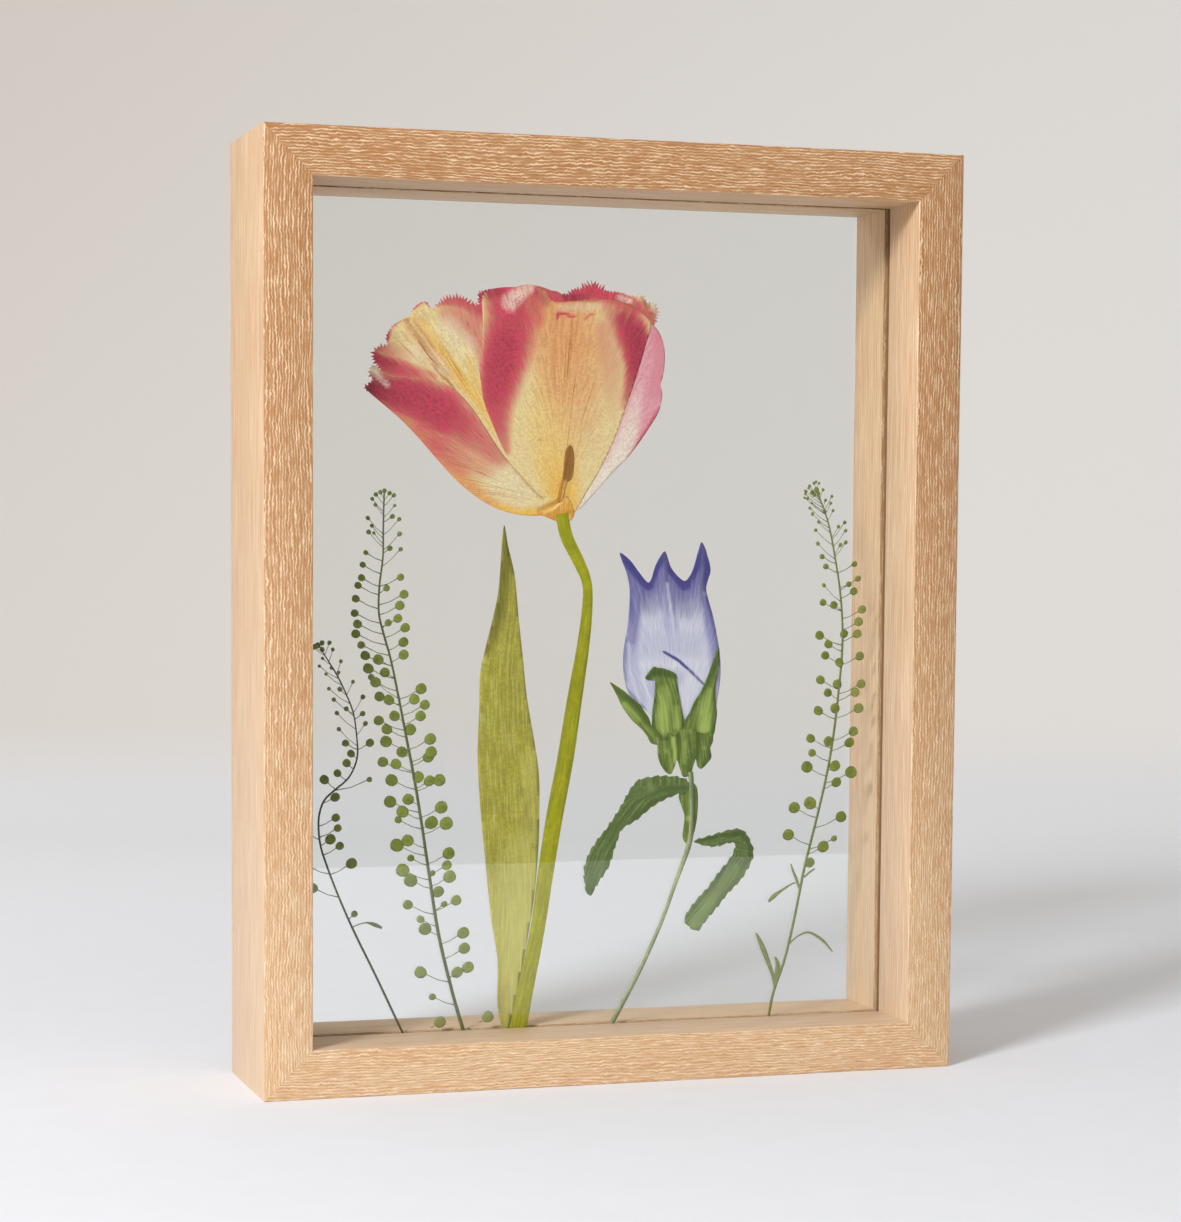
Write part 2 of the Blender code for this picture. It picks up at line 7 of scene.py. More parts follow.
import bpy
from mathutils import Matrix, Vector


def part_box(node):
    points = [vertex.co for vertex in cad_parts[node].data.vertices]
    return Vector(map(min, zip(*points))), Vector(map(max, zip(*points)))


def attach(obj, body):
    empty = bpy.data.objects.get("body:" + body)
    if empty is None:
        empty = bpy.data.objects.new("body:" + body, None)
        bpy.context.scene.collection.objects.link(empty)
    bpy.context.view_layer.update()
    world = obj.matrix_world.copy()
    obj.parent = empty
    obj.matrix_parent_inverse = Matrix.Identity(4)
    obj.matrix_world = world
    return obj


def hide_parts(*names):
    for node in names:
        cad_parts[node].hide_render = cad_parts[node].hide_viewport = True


bl_info = {
    "name": "Floating Frame with Pressed Plants",
    "version": (1, 0, 0),
    "blender": (4, 5, 0),
    "location": "View3D > Sidebar > Floating Frame",
    "description": "Builds the oak rails, glazing and pressed plants of a floating frame",
    "category": "Add Mesh",
}

import math
import random

import bmesh
import bpy
from mathutils import Matrix, Vector, noise

MM = 0.001

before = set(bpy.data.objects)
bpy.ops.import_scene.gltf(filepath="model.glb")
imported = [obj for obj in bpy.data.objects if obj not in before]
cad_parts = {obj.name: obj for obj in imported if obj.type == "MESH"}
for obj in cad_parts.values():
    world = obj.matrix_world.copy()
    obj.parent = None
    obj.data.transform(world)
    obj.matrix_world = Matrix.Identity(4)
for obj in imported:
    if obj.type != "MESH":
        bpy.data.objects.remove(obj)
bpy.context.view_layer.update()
LOW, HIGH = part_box("rail_bottom")[0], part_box("rail_top")[1]
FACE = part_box("stile_left")[1].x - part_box("stile_left")[0].x


def colour(code):
    """The linear colour of a six-digit hexadecimal code."""
    levels = [int(code[i:i + 2], 16) / 255 for i in (0, 2, 4)]
    return tuple(c / 12.92 if c <= 0.04045 else ((c + 0.055) / 1.055) ** 2.4 for c in levels)


def colour_property(name, description, code):
    return bpy.props.FloatVectorProperty(
        name=name, description=description, subtype="COLOR", size=3, min=0, max=1,
        default=colour(code),
    )


def length_property(name, description, default):
    return bpy.props.FloatProperty(
        name=name, description=description, unit="LENGTH", default=default, min=0,
    )


# Settings

class FloatFrameRailSettings(bpy.types.PropertyGroup):
    arris: length_property("Arris", "Radius of the rails' rounded long edges", 0.0005)
    mitre_gap: length_property("Mitre gap", "Width of the line where two rails meet", 0.00004)
    tan: colour_property("Tan", "Main colour of the oak", "BD9065")
    cream: colour_property("Cream", "Colour of the pale growth lines", "F6DDB8")
    brown: colour_property("Brown", "Colour of the dark wood between the lines", "A9713F")
    side: colour_property("Side", "Main colour of the rails' sides", "CDA780")


class FloatFrameGlazingSettings(bpy.types.PropertyGroup):
    edge_bevel: length_property("Edge bevel", "Seamed edge of the panes", 0.0003)
    tape: colour_property("Binding", "Colour of the binding round the panes", "A87C55")
    steel: colour_property("Steel", "Colour of the V-nails", "9A9A9C")


class FloatFrameTulipSettings(bpy.types.PropertyGroup):
    petal_thickness: length_property("Petal thickness", "Thickness of a pressed petal", 0.00005)
    crimson: colour_property("Crimson", "Colour of the petals' flames", "B94255")
    wine: colour_property("Wine", "Colour of the darkest strokes in the flames", "8A2740")
    cream: colour_property("Cream", "Pale ground of the petals", "DCC890")
    gold: colour_property("Gold", "Yellow at the foot of the petals", "E2B54A")
    peach: colour_property("Peach", "Warm middle of the petals", "D79C66")
    pink: colour_property("Pink", "Translucent side petal", "D898A2")
    pale: colour_property("Pale", "Bleached patches and fringes", "E4E0CC")
    vein: colour_property("Vein", "Thin brown veins and folds", "A9652F")
    stem: colour_property("Stem", "Colour of the tulip's stem", "A8A600")
    leaf: colour_property("Leaf", "Colour of the tulip's leaf", "B5AC40")


class FloatFrameBellSettings(bpy.types.PropertyGroup):
    violet: colour_property("Violet", "Tips of the bell", "3D3680")
    lilac: colour_property("Lilac", "Upper half of the bell", "9794C0")
    pale: colour_property("Pale", "Foot of the bell", "D3D3DC")
    sepal: colour_property("Sepal", "Colour of the sepals", "6C7F35")
    leaf: colour_property("Leaf", "Colour of the leaves", "62763A")
    stem: colour_property("Stem", "Colour of the stem", "A9AE84")


class FloatFrameSprigSettings(bpy.types.PropertyGroup):
    pod: colour_property("Pod", "Colour of the seed pods", "6D7B1D")
    stalk: colour_property("Stalk", "Colour of the stalks", "3D4520")


class FloatFrameStageSettings(bpy.types.PropertyGroup):
    table: colour_property("Table", "Colour of the floor", "EFF2F8")
    wall: colour_property("Wall", "Colour of the backdrop", "EBEAE9")
    key_power: bpy.props.FloatProperty(
        name="Key power", description="Power of the soft key light", default=34, min=0,
    )
    sky_strength: bpy.props.FloatProperty(
        name="Sky strength", description="Brightness of the surrounding light", default=0.52, min=0,
    )
    wall_glow: bpy.props.FloatProperty(
        name="Wall glow", description="Extra light on the backdrop", default=0.16, min=0,
    )


SETTINGS = {
    "floatframe_rails": FloatFrameRailSettings,
    "floatframe_glazing": FloatFrameGlazingSettings,
    "floatframe_tulip": FloatFrameTulipSettings,
    "floatframe_bell": FloatFrameBellSettings,
    "floatframe_sprigs": FloatFrameSprigSettings,
    "floatframe_stage": FloatFrameStageSettings,
}


# Node trees

def put(tree, kind, inputs=None, **settings):
    """Adds a node; an input is given a value or another node's output socket."""
    node = tree.nodes.new("ShaderNode" + kind)
    for name, value in settings.items():
        setattr(node, name, value)
    for name, value in (inputs or {}).items():
        if isinstance(value, bpy.types.NodeSocket):
            tree.links.new(value, node.inputs[name])
        else:
            node.inputs[name].default_value = value
    return node


def mix(tree, factor, first, second, blend="MIX"):
    first, second = (c if isinstance(c, bpy.types.NodeSocket) else (*c[:3], 1) for c in (first, second))
    node = put(tree, "Mix", {0: factor, 6: first, 7: second}, data_type="RGBA", blend_type=blend)
    return node.outputs[2]


def compute(tree, operation, first, second=0.0):
    return put(tree, "Math", {0: first, 1: second}, operation=operation).outputs[0]


def times(tree, first, second):
    return compute(tree, "MULTIPLY", first, second)


def swayed(tree, value, pattern, amount):
    """A value moved to either side by a pattern that lies round a half."""
    return compute(tree, "ADD", value, times(tree, compute(tree, "SUBTRACT", pattern, 0.5), amount))


def ease(tree, value, low, high, out_low=0.0, out_high=1.0):
    """A value's place between two limits, eased at both ends."""
    limits = {"Value": value, "From Min": low, "From Max": high, "To Min": out_low, "To Max": out_high}
    return put(tree, "MapRange", limits, interpolation_type="SMOOTHSTEP").outputs["Result"]


def stretched(tree, vector, scale):
    return put(tree, "Mapping", {"Vector": vector, "Scale": scale}).outputs[0]


def speckle(tree, vector, scale, detail=2.0, roughness=0.5):
    values = {"Vector": vector, "Scale": scale, "Detail": detail, "Roughness": roughness}
    return put(tree, "TexNoise", values).outputs["Fac"]


def mask(tree, name):
    return put(tree, "Attribute", attribute_name=name).outputs["Fac"]


def uv(tree):
    return put(tree, "UVMap", uv_map="UVMap").outputs["UV"]


def place(tree):
    return put(tree, "TexCoord").outputs["Object"]


def bump(tree, height, strength, distance):
    return put(tree, "Bump", {"Height": height, "Strength": strength, "Distance": distance}).outputs[0]


def position(tree):
    """The X, Y and Z of a point in the object's own frame."""
    return put(tree, "SeparateXYZ", {"Vector": place(tree)}).outputs


def wire(tree, shader, **outputs):
    """Links outputs to the shader's sockets, named with an underscore for each space."""
    for name, output in outputs.items():
        tree.links.new(output, shader.inputs[name.replace("_", " ")])


def new_material(name, roughness, **constants):
    """A material with its tree and its Principled shader, whose constants are set on its sockets."""
    material = bpy.data.materials.new(name)
    material.use_nodes = True
    tree = material.node_tree
    shader = tree.nodes["Principled BSDF"]
    shader.inputs["Roughness"].default_value = roughness
    for socket, value in constants.items():
        shader.inputs[socket.replace("_", " ")].default_value = value
    return material, tree, shader


def line_group(name, lengths, build):
    """A shared node group that makes two patterns, Lines and Hairs, from a vector in metres."""
    group = bpy.data.node_groups.get(name)
    if group:
        return group
    group = bpy.data.node_groups.new(name, "ShaderNodeTree")
    group.interface.new_socket("Vector", in_out="INPUT", socket_type="NodeSocketVector")
    for length in lengths:
        group.interface.new_socket(length, in_out="INPUT", socket_type="NodeSocketFloat")
    for pattern in ("Lines", "Hairs"):
        group.interface.new_socket(pattern, in_out="OUTPUT", socket_type="NodeSocketFloat")
    given = group.nodes.new("NodeGroupInput").outputs
    apart = put(group, "SeparateXYZ", {"Vector": given["Vector"]}).outputs
    lines, hairs = build(group, given, apart)
    wire(group, group.nodes.new("NodeGroupOutput"), Lines=lines, Hairs=hairs)
    return group


def line_patterns(tree, vector, name, lengths, build):
    node = tree.nodes.new("ShaderNodeGroup")
    node.node_tree = line_group(name, lengths, build)
    tree.links.new(vector, node.inputs["Vector"])
    for length, value in lengths.items():
        node.inputs[length].default_value = value
    return node.outputs["Lines"], node.outputs["Hairs"]


def build_fibres(group, given, apart):
    wander = speckle(group, given["Vector"], compute(group, "DIVIDE", 1.0, given["Waver Length"]), 3.0, 0.65)
    across = swayed(group, apart["Y"], wander, given["Waver"])
    for length_share, pitch_share in ((1.0, 1.0), (0.7, 0.35)):
        run = compute(group, "DIVIDE", apart["X"], times(group, given["Length"], length_share))
        turn = compute(group, "DIVIDE", across, times(group, given["Pitch"], pitch_share))
        point = put(group, "CombineXYZ", {"X": run, "Y": turn, "Z": apart["Z"]}).outputs[0]
        yield speckle(group, point, 1.0, 1.5)


def fibres(tree, length, pitch, waver, waver_length):
    """Wavering lines along the first axis of the UV: veins and fibres."""
    lengths = {"Length": length, "Pitch": pitch, "Waver": waver, "Waver Length": waver_length}
    return line_patterns(tree, uv(tree), "fibres", lengths, build_fibres)


def build_grain(group, given, apart):
    across = apart["Y"]
    for scale, amount in (((16, 55, 1), "Wander"), ((420, 480, 1), "Jag")):
        bend = speckle(group, stretched(group, given["Vector"], scale), 1.0, 2.0, 0.6)
        across = swayed(group, across, bend, given[amount])
    turns = compute(group, "DIVIDE", across, given["Pitch"])
    wave = compute(group, "SINE", times(group, turns, 2 * math.pi))
    run = compute(group, "DIVIDE", apart["X"], given["Length"])
    uneven = put(group, "CombineXYZ", {"X": run, "Y": times(group, turns, 1.3)}).outputs[0]
    fine = put(group, "CombineXYZ", {"X": times(group, run, 2.5), "Y": times(group, turns, 2.6), "Z": 1.0})
    lines = speckle(group, uneven, 1.0, 3.0, 0.6)
    return compute(group, "ADD", lines, times(group, wave, 0.16)), speckle(group, fine.outputs[0], 1.0)


def grain(tree, pitch, wander, jag, length):
    """Close growth lines along the first axis of the UV, wavy and a little broken."""
    lengths = {"Pitch": pitch, "Wander": wander, "Jag": jag, "Length": length}
    return line_patterns(tree, uv(tree), "grain", lengths, build_grain)


def paler_low_painted_light(tree, ground, towards, amount):
    """Painted light: the wood is painted paler toward the foot of the frame, standing in for the brighter
    light near the floor.
    """
    return mix(tree, ease(tree, position(tree)["Z"], -0.02, 0.27, amount, 0.0), ground, towards)


# Materials

def oak_face_material(rails):
    """Front and rear faces: tan oak with close, wavy cream lines and brown between them."""
    material, tree, shader = new_material("oak_face", 0.5)
    lines, hairs = grain(tree, 1.0 * MM, 5 * MM, 1.4 * MM, 7 * MM)
    cloud = speckle(tree, stretched(tree, uv(tree), (14, 70, 1)), 1.0, 2.0)
    # Painted light: tan and brown are painted paler toward the foot of the frame.
    tan = paler_low_painted_light(tree, rails.tan, colour("E2C5A1"), 0.85)
    brown = paler_low_painted_light(tree, rails.brown, colour("CF9D69"), 0.85)
    ground = mix(tree, ease(tree, cloud, 0.35, 0.7, 0.0, 0.4), tan, brown)
    ground = mix(tree, ease(tree, lines, 0.3, 0.5, 0.8, 0.0), ground, brown)
    ground = mix(tree, ease(tree, lines, 0.52, 0.74, 0.0, 0.8), ground, rails.cream)
    ground = mix(tree, ease(tree, hairs, 0.36, 0.6, 0.35, 0.0), ground, brown)
    wire(tree, shader, Base_Color=ground, Roughness=ease(tree, lines, 0.3, 0.7, 0.5, 0.42),
         Normal=bump(tree, lines, 0.25, 0.05 * MM))
    return material


def oak_side_material(rails):
    """Outer and inner faces: fine, nearly straight lines with little contrast."""
    material, tree, shader = new_material("oak_side", 0.5)
    lines, hairs = grain(tree, 0.95 * MM, 5 * MM, 0.5 * MM, 30 * MM)
    ground = mix(tree, ease(tree, lines, 0.5, 0.7, 0.0, 0.85), rails.side, rails.cream)
    ground = mix(tree, ease(tree, lines, 0.32, 0.5, 0.5, 0.0), ground, rails.tan)
    ground = mix(tree, ease(tree, hairs, 0.34, 0.56, 0.3, 0.0), ground, rails.tan)
    # Painted light: the sides are painted paler toward the foot of the frame too.
    ground = paler_low_painted_light(tree, ground, colour("EADBC8"), 0.25)
    wire(tree, shader, Base_Color=ground, Normal=bump(tree, hairs, 0.15, 0.03 * MM))
    return material


def glass_material():
    """Clear glass whose shadow lets the light through."""
    material, tree, shader = new_material(
        "glass", 0.0, Base_Color=(0.992, 1.0, 0.996, 1), IOR=1.5, Transmission_Weight=1.0)
    clear = put(tree, "BsdfTransparent", {"Color": (0.97, 0.98, 0.975, 1)}).outputs[0]
    path = put(tree, "LightPath").outputs
    through = compute(tree, "MAXIMUM", path["Is Shadow Ray"], path["Is Diffuse Ray"])
    both = put(tree, "MixShader", {0: through, 1: shader.outputs[0], 2: clear}).outputs[0]
    tree.links.new(both, tree.nodes["Material Output"].inputs["Surface"])
    return material


def tape_material(glazing):
    material, tree, shader = new_material("tape", 0.65)
    crepe = speckle(tree, stretched(tree, place(tree), (900, 900, 900)), 1.0, 3.0)
    worn = mix(tree, ease(tree, crepe, 0.35, 0.7, 0.0, 0.5), glazing.tape, (0.3, 0.16, 0.08))
    wire(tree, shader, Base_Color=worn, Normal=bump(tree, crepe, 0.3, 0.05 * MM))
    return material


def steel_material(glazing):
    material, tree, shader = new_material("steel", 0.35, Metallic=1.0)
    roll = speckle(tree, stretched(tree, place(tree), (3000, 200, 3000)), 1.0, 2.0)
    wire(tree, shader, Base_Color=mix(tree, ease(tree, roll, 0.3, 0.7), glazing.steel, (0.2, 0.2, 0.21)),
         Roughness=ease(tree, roll, 0.3, 0.7, 0.3, 0.5))
    return material


def masked(tree, name, pattern, ground, towards):
    """A colour laid where a mask is, broken up by a pattern."""
    return mix(tree, times(tree, mask(tree, name), pattern), ground, towards)


def petal_material(name, tulip, ground):
    """A pressed petal: flames of crimson that fray along the veins, over cream, gold and peach."""
    material, tree, shader = new_material(name, 0.65, Specular_IOR_Level=0.2)
    lines, hairs = fibres(tree, 6 * MM, 0.8 * MM, 0.5 * MM, 5 * MM)
    grain_spots = speckle(tree, place(tree), 1300, 2.0, 0.6)
    _, ribs = fibres(tree, 60 * MM, 4.2 * MM, 0.8 * MM, 30 * MM)
    now = mix(tree, mask(tree, "gold"), ground, tulip.gold)
    now = mix(tree, mask(tree, "peach"), now, tulip.peach)
    wash = mask(tree, "crimson")
    frayed = swayed(tree, swayed(tree, wash, lines, 1.0), grain_spots, 0.6)
    flame = times(tree, ease(tree, frayed, 0.0, 1.0), ease(tree, wash, 0.0, 0.3))
    now = mix(tree, flame, now, tulip.crimson)
    now = masked(tree, "wine", ease(tree, lines, 0.3, 0.6, 0.35, 1.0), now, tulip.wine)
    now = masked(tree, "pale", ease(tree, hairs, 0.3, 0.6, 0.6, 1.0), now, tulip.pale)
    rib = times(tree, ease(tree, ribs, 0.55, 0.64), ease(tree, lines, 0.35, 0.6))
    rib = times(tree, rib, mask(tree, "vein"))
    crease = times(tree, mask(tree, "fold"), 0.75)
    now = mix(tree, compute(tree, "MAXIMUM", rib, crease), now, tulip.vein)
    rough = times(tree, compute(tree, "ADD", lines, grain_spots), 0.5)
    tint = put(tree, "CombineColor", {name: ease(tree, rough, 0.38, 0.6, low, 1.3)
                                      for name, low in (("Red", 0.84), ("Green", 0.6), ("Blue", 0.62))})
    tinted = mix(tree, 1.0, now, tint.outputs[0], "MULTIPLY")
    now = mix(tree, ease(tree, flame, 0.0, 1.0, 0.42, 1.0), now, tinted)
    wire(tree, shader, Base_Color=now, Normal=bump(tree, hairs, 0.3, 0.04 * MM))
    return material


def leaf_material(name, main, dark, pale, vein_pitch, roughness=0.55):
    """A pressed leaf or stem: fine fibres along it, with dark folds and pale spots from its masks."""
    material, tree, shader = new_material(name, roughness, Specular_IOR_Level=0.3)
    lines, hairs = fibres(tree, 14 * MM, vein_pitch, 0.2 * MM, 12 * MM)
    blotch = speckle(tree, place(tree), 110, 4.0, 0.6)
    crumple = speckle(tree, place(tree), 900, 2.0)
    now = mix(tree, ease(tree, blotch, 0.36, 0.66, 0.0, 0.3), main, dark)
    now = mix(tree, ease(tree, lines, 0.46, 0.64, 0.0, 0.38), now, pale)
    now = mix(tree, ease(tree, hairs, 0.36, 0.56, 0.34, 0.0), now, dark)
    now = mix(tree, ease(tree, crumple, 0.4, 0.62, 0.22, 0.0), now, dark)
    now = masked(tree, "pale", ease(tree, lines, 0.3, 0.6, 0.7, 1.0), now, pale)
    now = masked(tree, "dark", ease(tree, hairs, 0.3, 0.6, 1.0, 0.75), now, dark)
    wire(tree, shader, Base_Color=now, Normal=bump(tree, lines, 0.4, 0.08 * MM))
    return material


def bell_material(bell):
    """The bell: violet tips that fade to a pale foot, with painted shade in grey along its folds, a painted
    highlight beside them, and faint veins.
    """
    material, tree, shader = new_material("petal_blue", 0.6, Sheen_Weight=0.1)
    lines, hairs = fibres(tree, 9 * MM, 0.9 * MM, 0.4 * MM, 8 * MM)
    now = mix(tree, mask(tree, "lilac"), bell.pale, bell.lilac)
    frayed = swayed(tree, mask(tree, "violet"), lines, 0.5)
    flush = times(tree, ease(tree, frayed, -0.05, 0.95), ease(tree, mask(tree, "violet"), 0.0, 0.25))
    now = mix(tree, flush, now, bell.violet)
    # Painted shade: grey along the folds of the bell.
    now = mix(tree, mask(tree, "crease"), now, colour("575377"))
    # Painted highlight: a pale stripe beside the folds.
    now = mix(tree, mask(tree, "painted_fold_highlight"), now, colour("E8E8EC"))
    veins = ease(tree, hairs, 0.38, 0.58, 0.8, 1.06)
    blue = ease(tree, hairs, 0.38, 0.58, 0.92, 1.02)
    tint = put(tree, "CombineColor", {"Red": veins, "Green": veins, "Blue": blue}).outputs[0]
    now = mix(tree, 1.0, now, tint, "MULTIPLY")
    wire(tree, shader, Base_Color=now, Normal=bump(tree, lines, 0.3, 0.06 * MM))
    return material


def pod_material(sprigs):
    """Seed pods and their stalks: a mask tells pods, rims and the stalk apart."""
    material, tree, shader = new_material("pod_green", 0.55)
    blotch = speckle(tree, stretched(tree, place(tree), (700, 700, 700)), 1.0, 2.0)
    pod = mix(tree, mask(tree, "tone"), sprigs.pod, colour("8E9838"))
    pod = mix(tree, ease(tree, blotch, 0.4, 0.7, 0.0, 0.5), pod, colour("4C5714"))
    pod = mix(tree, mask(tree, "rim"), pod, colour("454E1C"))
    stalk = mix(tree, mask(tree, "tone"), sprigs.stalk, colour("74823A"))
    now = mix(tree, mask(tree, "stalk"), pod, stalk)
    # The pale mask is painted light on the low pods, and the stalks' and leaves' own paler tone.
    now = mix(tree, mask(tree, "pale"), now, colour("9AA070"))
    wire(tree, shader, Base_Color=now, Normal=bump(tree, blotch, 0.3, 0.05 * MM))
    return material


# Meshes

def finish_piece(name, bm, materials, slot, *nodes, smooth=False):
    """Turns bm into a piece that rides on the frame and stands for CAD nodes."""
    mesh = bpy.data.meshes.new(name)
    bm.to_mesh(mesh)
    bm.free()
    for material in materials:
        mesh.materials.append(material)
    if smooth:
        mesh.shade_smooth()
    piece = bpy.data.objects.new(name, mesh)
    bpy.context.scene.collection.objects.link(piece)
    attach(piece, "root")
    if nodes:
        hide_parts(*nodes)
    return piece


def node_outline(name):
    """A plate's outline in millimetres, in order, read from its CAD node."""
    bm = bmesh.new()
    bm.from_mesh(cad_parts[name].data)
    bmesh.ops.remove_doubles(bm, verts=bm.verts, dist=1e-6)
    rear = [f for f in bm.faces if f.normal.y > -0.9]
    bmesh.ops.delete(bm, geom=rear, context="FACES")
    first = next(v for v in bm.verts if any(e.is_boundary for e in v.link_edges))
    loop, edge = [first], None
    while True:
        edge = next(e for e in loop[-1].link_edges if e.is_boundary and e is not edge)
        following = edge.other_vert(loop[-1])
        if following is first:
            break
        loop.append(following)
    points = [(v.co.x / MM, v.co.z / MM) for v in loop]
    bm.free()
    return points


def curve_point(a, b, c, d, t):
    return 0.5 * (
        2 * b + (c - a) * t + (2 * a - 5 * b + 4 * c - d) * t**2 + (3 * b - a - 3 * c + d) * t**3
    )


def smoothed(points, spacing, closed=False):
    """A curve through the points (Catmull-Rom), with a point about every spacing."""
    count = len(points)
    result = []
    for i in range(count if closed else count - 1):
        picks = [(i + k) % count if closed else min(max(i + k, 0), count - 1) for k in (-1, 0, 1, 2)]
        a, b, c, d = (points[k] for k in picks)
        steps = max(1, round(math.dist(b[:2], c[:2]) / spacing))
        for s in range(steps):
            result.append(tuple(curve_point(a[k], b[k], c[k], d[k], s / steps) for k in range(len(b))))
    if not closed:
        result.append(tuple(points[-1]))
    return result


def stroke_weight(stroke, x, z):
    """How strongly a soft stroke of (x, z, radius, strength) points covers a point."""
    best = 0.0
    pairs = list(zip(stroke, stroke[1:])) or [(stroke[0], stroke[0])]
    for (ax, az, ar, aw), (bx, bz, br, bw) in pairs:
        run_x, run_z = bx - ax, bz - az
        square = run_x**2 + run_z**2
        t = 0.0 if square == 0 else min(max(((x - ax) * run_x + (z - az) * run_z) / square, 0), 1)
        reach = math.hypot(x - ax - run_x * t, z - az - run_z * t) / (ar + (br - ar) * t)
        if reach < 1:
            best = max(best, (1 - reach**3) ** 1.5 * (aw + (bw - aw) * t))
    return best


def paint(piece, strokes):
    """Stores each mask of a piece as a point attribute, from its strokes."""
    for name, group in strokes.items():
        values = [min(max(stroke_weight(s, v.co.x / MM, v.co.z / MM) for s in group), 1.0)
                  for v in piece.data.vertices]
        layer = piece.data.attributes.new(name, "FLOAT", "POINT")
        layer.data.foreach_set("value", values)


def outward(outline):
    """+1 or -1: the side of each step along an outline that faces out."""
    area = sum(a[0] * b[1] - b[0] * a[1] for a, b in zip(outline, outline[1:] + outline[:1]))
    return 1 if area > 0 else -1


def moved(outline, shift):
    """Moves each point by shift's two distances, across and along the outline there."""
    result = []
    for i, (x, z) in enumerate(outline):
        before, after = outline[i - 1], outline[(i + 1) % len(outline)]
        run_x, run_z = after[0] - before[0], after[1] - before[1]
        size = math.hypot(run_x, run_z) or 1
        across, along = shift(i, (x, z), before, size)
        result.append((x + across * run_z / size + along * run_x / size,
                       z - across * run_x / size + along * run_z / size))
    return result


def fringed(outline, zones, rng):
    """Gives an outline ragged teeth where a zone of (x, z, reach, tooth length) covers it."""
    side = outward(outline)

    def tooth(i, point, before, size):
        length = max([longest * max(0, 1 - (math.dist(point, (x, z)) / reach) ** 4)
                      for x, z, reach, longest in zones] or [0])
        if length <= 0:
            return 0, 0
        push = length * (rng.uniform(0.35, 1.0) if i % 2 else -rng.uniform(0.1, 0.45))
        return side * push, rng.uniform(-0.22, 0.22) * size / 2
    return moved(outline, tooth)


def grown(outline, amount):
    """The outline moved outward all round, so that neighbours overlap."""
    return moved(outline, lambda *_: (outward(outline) * amount, 0))


def toothed(outline, pitch, height, rng):
    """Shallow forward-leaning teeth round a leaf."""
    travel = 0.0

    def tooth(i, point, before, size):
        nonlocal travel
        travel += math.dist(before, point)
        return -height * ((travel / pitch) % 1) * rng.uniform(0.7, 1.1), 0
    return moved(outline, tooth)


def cut_grid(bm, step):
    """Cuts a flat face into cells of that size, so that it can carry masks and relief."""
    for axis in (0, 2):
        places = [v.co[axis] for v in bm.verts]
        steps = int((max(places) - min(places)) / (step * MM))
        normal = Vector((axis == 0, 0, axis == 2))
        for i in range(1, steps + 1):
            point = normal * (min(places) + i * step * MM)
            geometry = bm.verts[:] + bm.edges[:] + bm.faces[:]
            bmesh.ops.bisect_plane(bm, geom=geometry, dist=1e-7, plane_co=point, plane_no=normal)


def sheet(name, outline, depth, relief, flow, material, slot, nodes, thickness, step=1.3):
    """A thin pressed sheet: relief gives its depth in millimetres at (x, z), and flow its UV."""
    bm = bmesh.new()
    bm.faces.new([bm.verts.new((x * MM, 0, z * MM)) for x, z in outline])
    cut_grid(bm, step)
    bmesh.ops.triangulate(bm, faces=bm.faces)
    bmesh.ops.remove_doubles(bm, verts=bm.verts, dist=2e-5)
    for face in bm.faces:
        if face.normal.y > 0:
            face.normal_flip()
    layer = bm.loops.layers.uv.new("UVMap")
    for face in bm.faces:
        for loop in face.loops:
            along, across = flow(loop.vert.co.x / MM, loop.vert.co.z / MM)
            loop[layer].uv = (along * MM, across * MM)
    for vert in bm.verts:
        vert.co.y = (depth + relief(vert.co.x / MM, vert.co.z / MM)) * MM
    piece = finish_piece(name, bm, [material], slot, *nodes, smooth=True)
    shell = piece.modifiers.new("thickness", "SOLIDIFY")
    shell.thickness = thickness
    shell.offset = 0
    return piece


def fan_flow(foot_x, foot_z, spread=55.0):
    """Veins that fan out from a foot: distance from it, and angle as a distance at spread."""
    def flow(x, z):
        return math.hypot(x - foot_x, z - foot_z), math.atan2(x - foot_x, z - foot_z) * spread
    return flow


def spine_flow(spine):
    """Fibres along a middle line of (x, z) points: height along it, and distance from it."""
    def flow(x, z):
        ordered = sorted(spine, key=lambda p: p[1])
        if z <= ordered[0][1]:
            return z, x - ordered[0][0]
        for (x_low, z_low), (x_high, z_high) in zip(ordered, ordered[1:]):
            if z <= z_high:
                return z, x - x_low - (x_high - x_low) * (z - z_low) / (z_high - z_low)
        return z, x - ordered[-1][0]
    return flow


def ripple(seed, height, length):
    """Gentle unevenness, the same each run."""
    def relief(x, z):
        return height * noise.noise(Vector((x / length, seed * 7.3, z / length)))
    return relief


# Rails

GROOVE_SLACK, FLOOR_SLACK = 0.75 * MM, 0.3 * MM
REAR_GRAIN, INNER_GRAIN = 0.2, 3 * FACE  # parts the grain of the rear and inner faces from the front's
SNAP = 1e-6


def bevel(bm, edges, offset, segments):
    bmesh.ops.bevel(bm, geom=edges, offset=offset, offset_type="OFFSET", affect="EDGES",
                    segments=segments, profile=0.5, material=-1)


def added_verts(geometry):
    return [v for v in geometry if isinstance(v, bmesh.types.BMVert)]


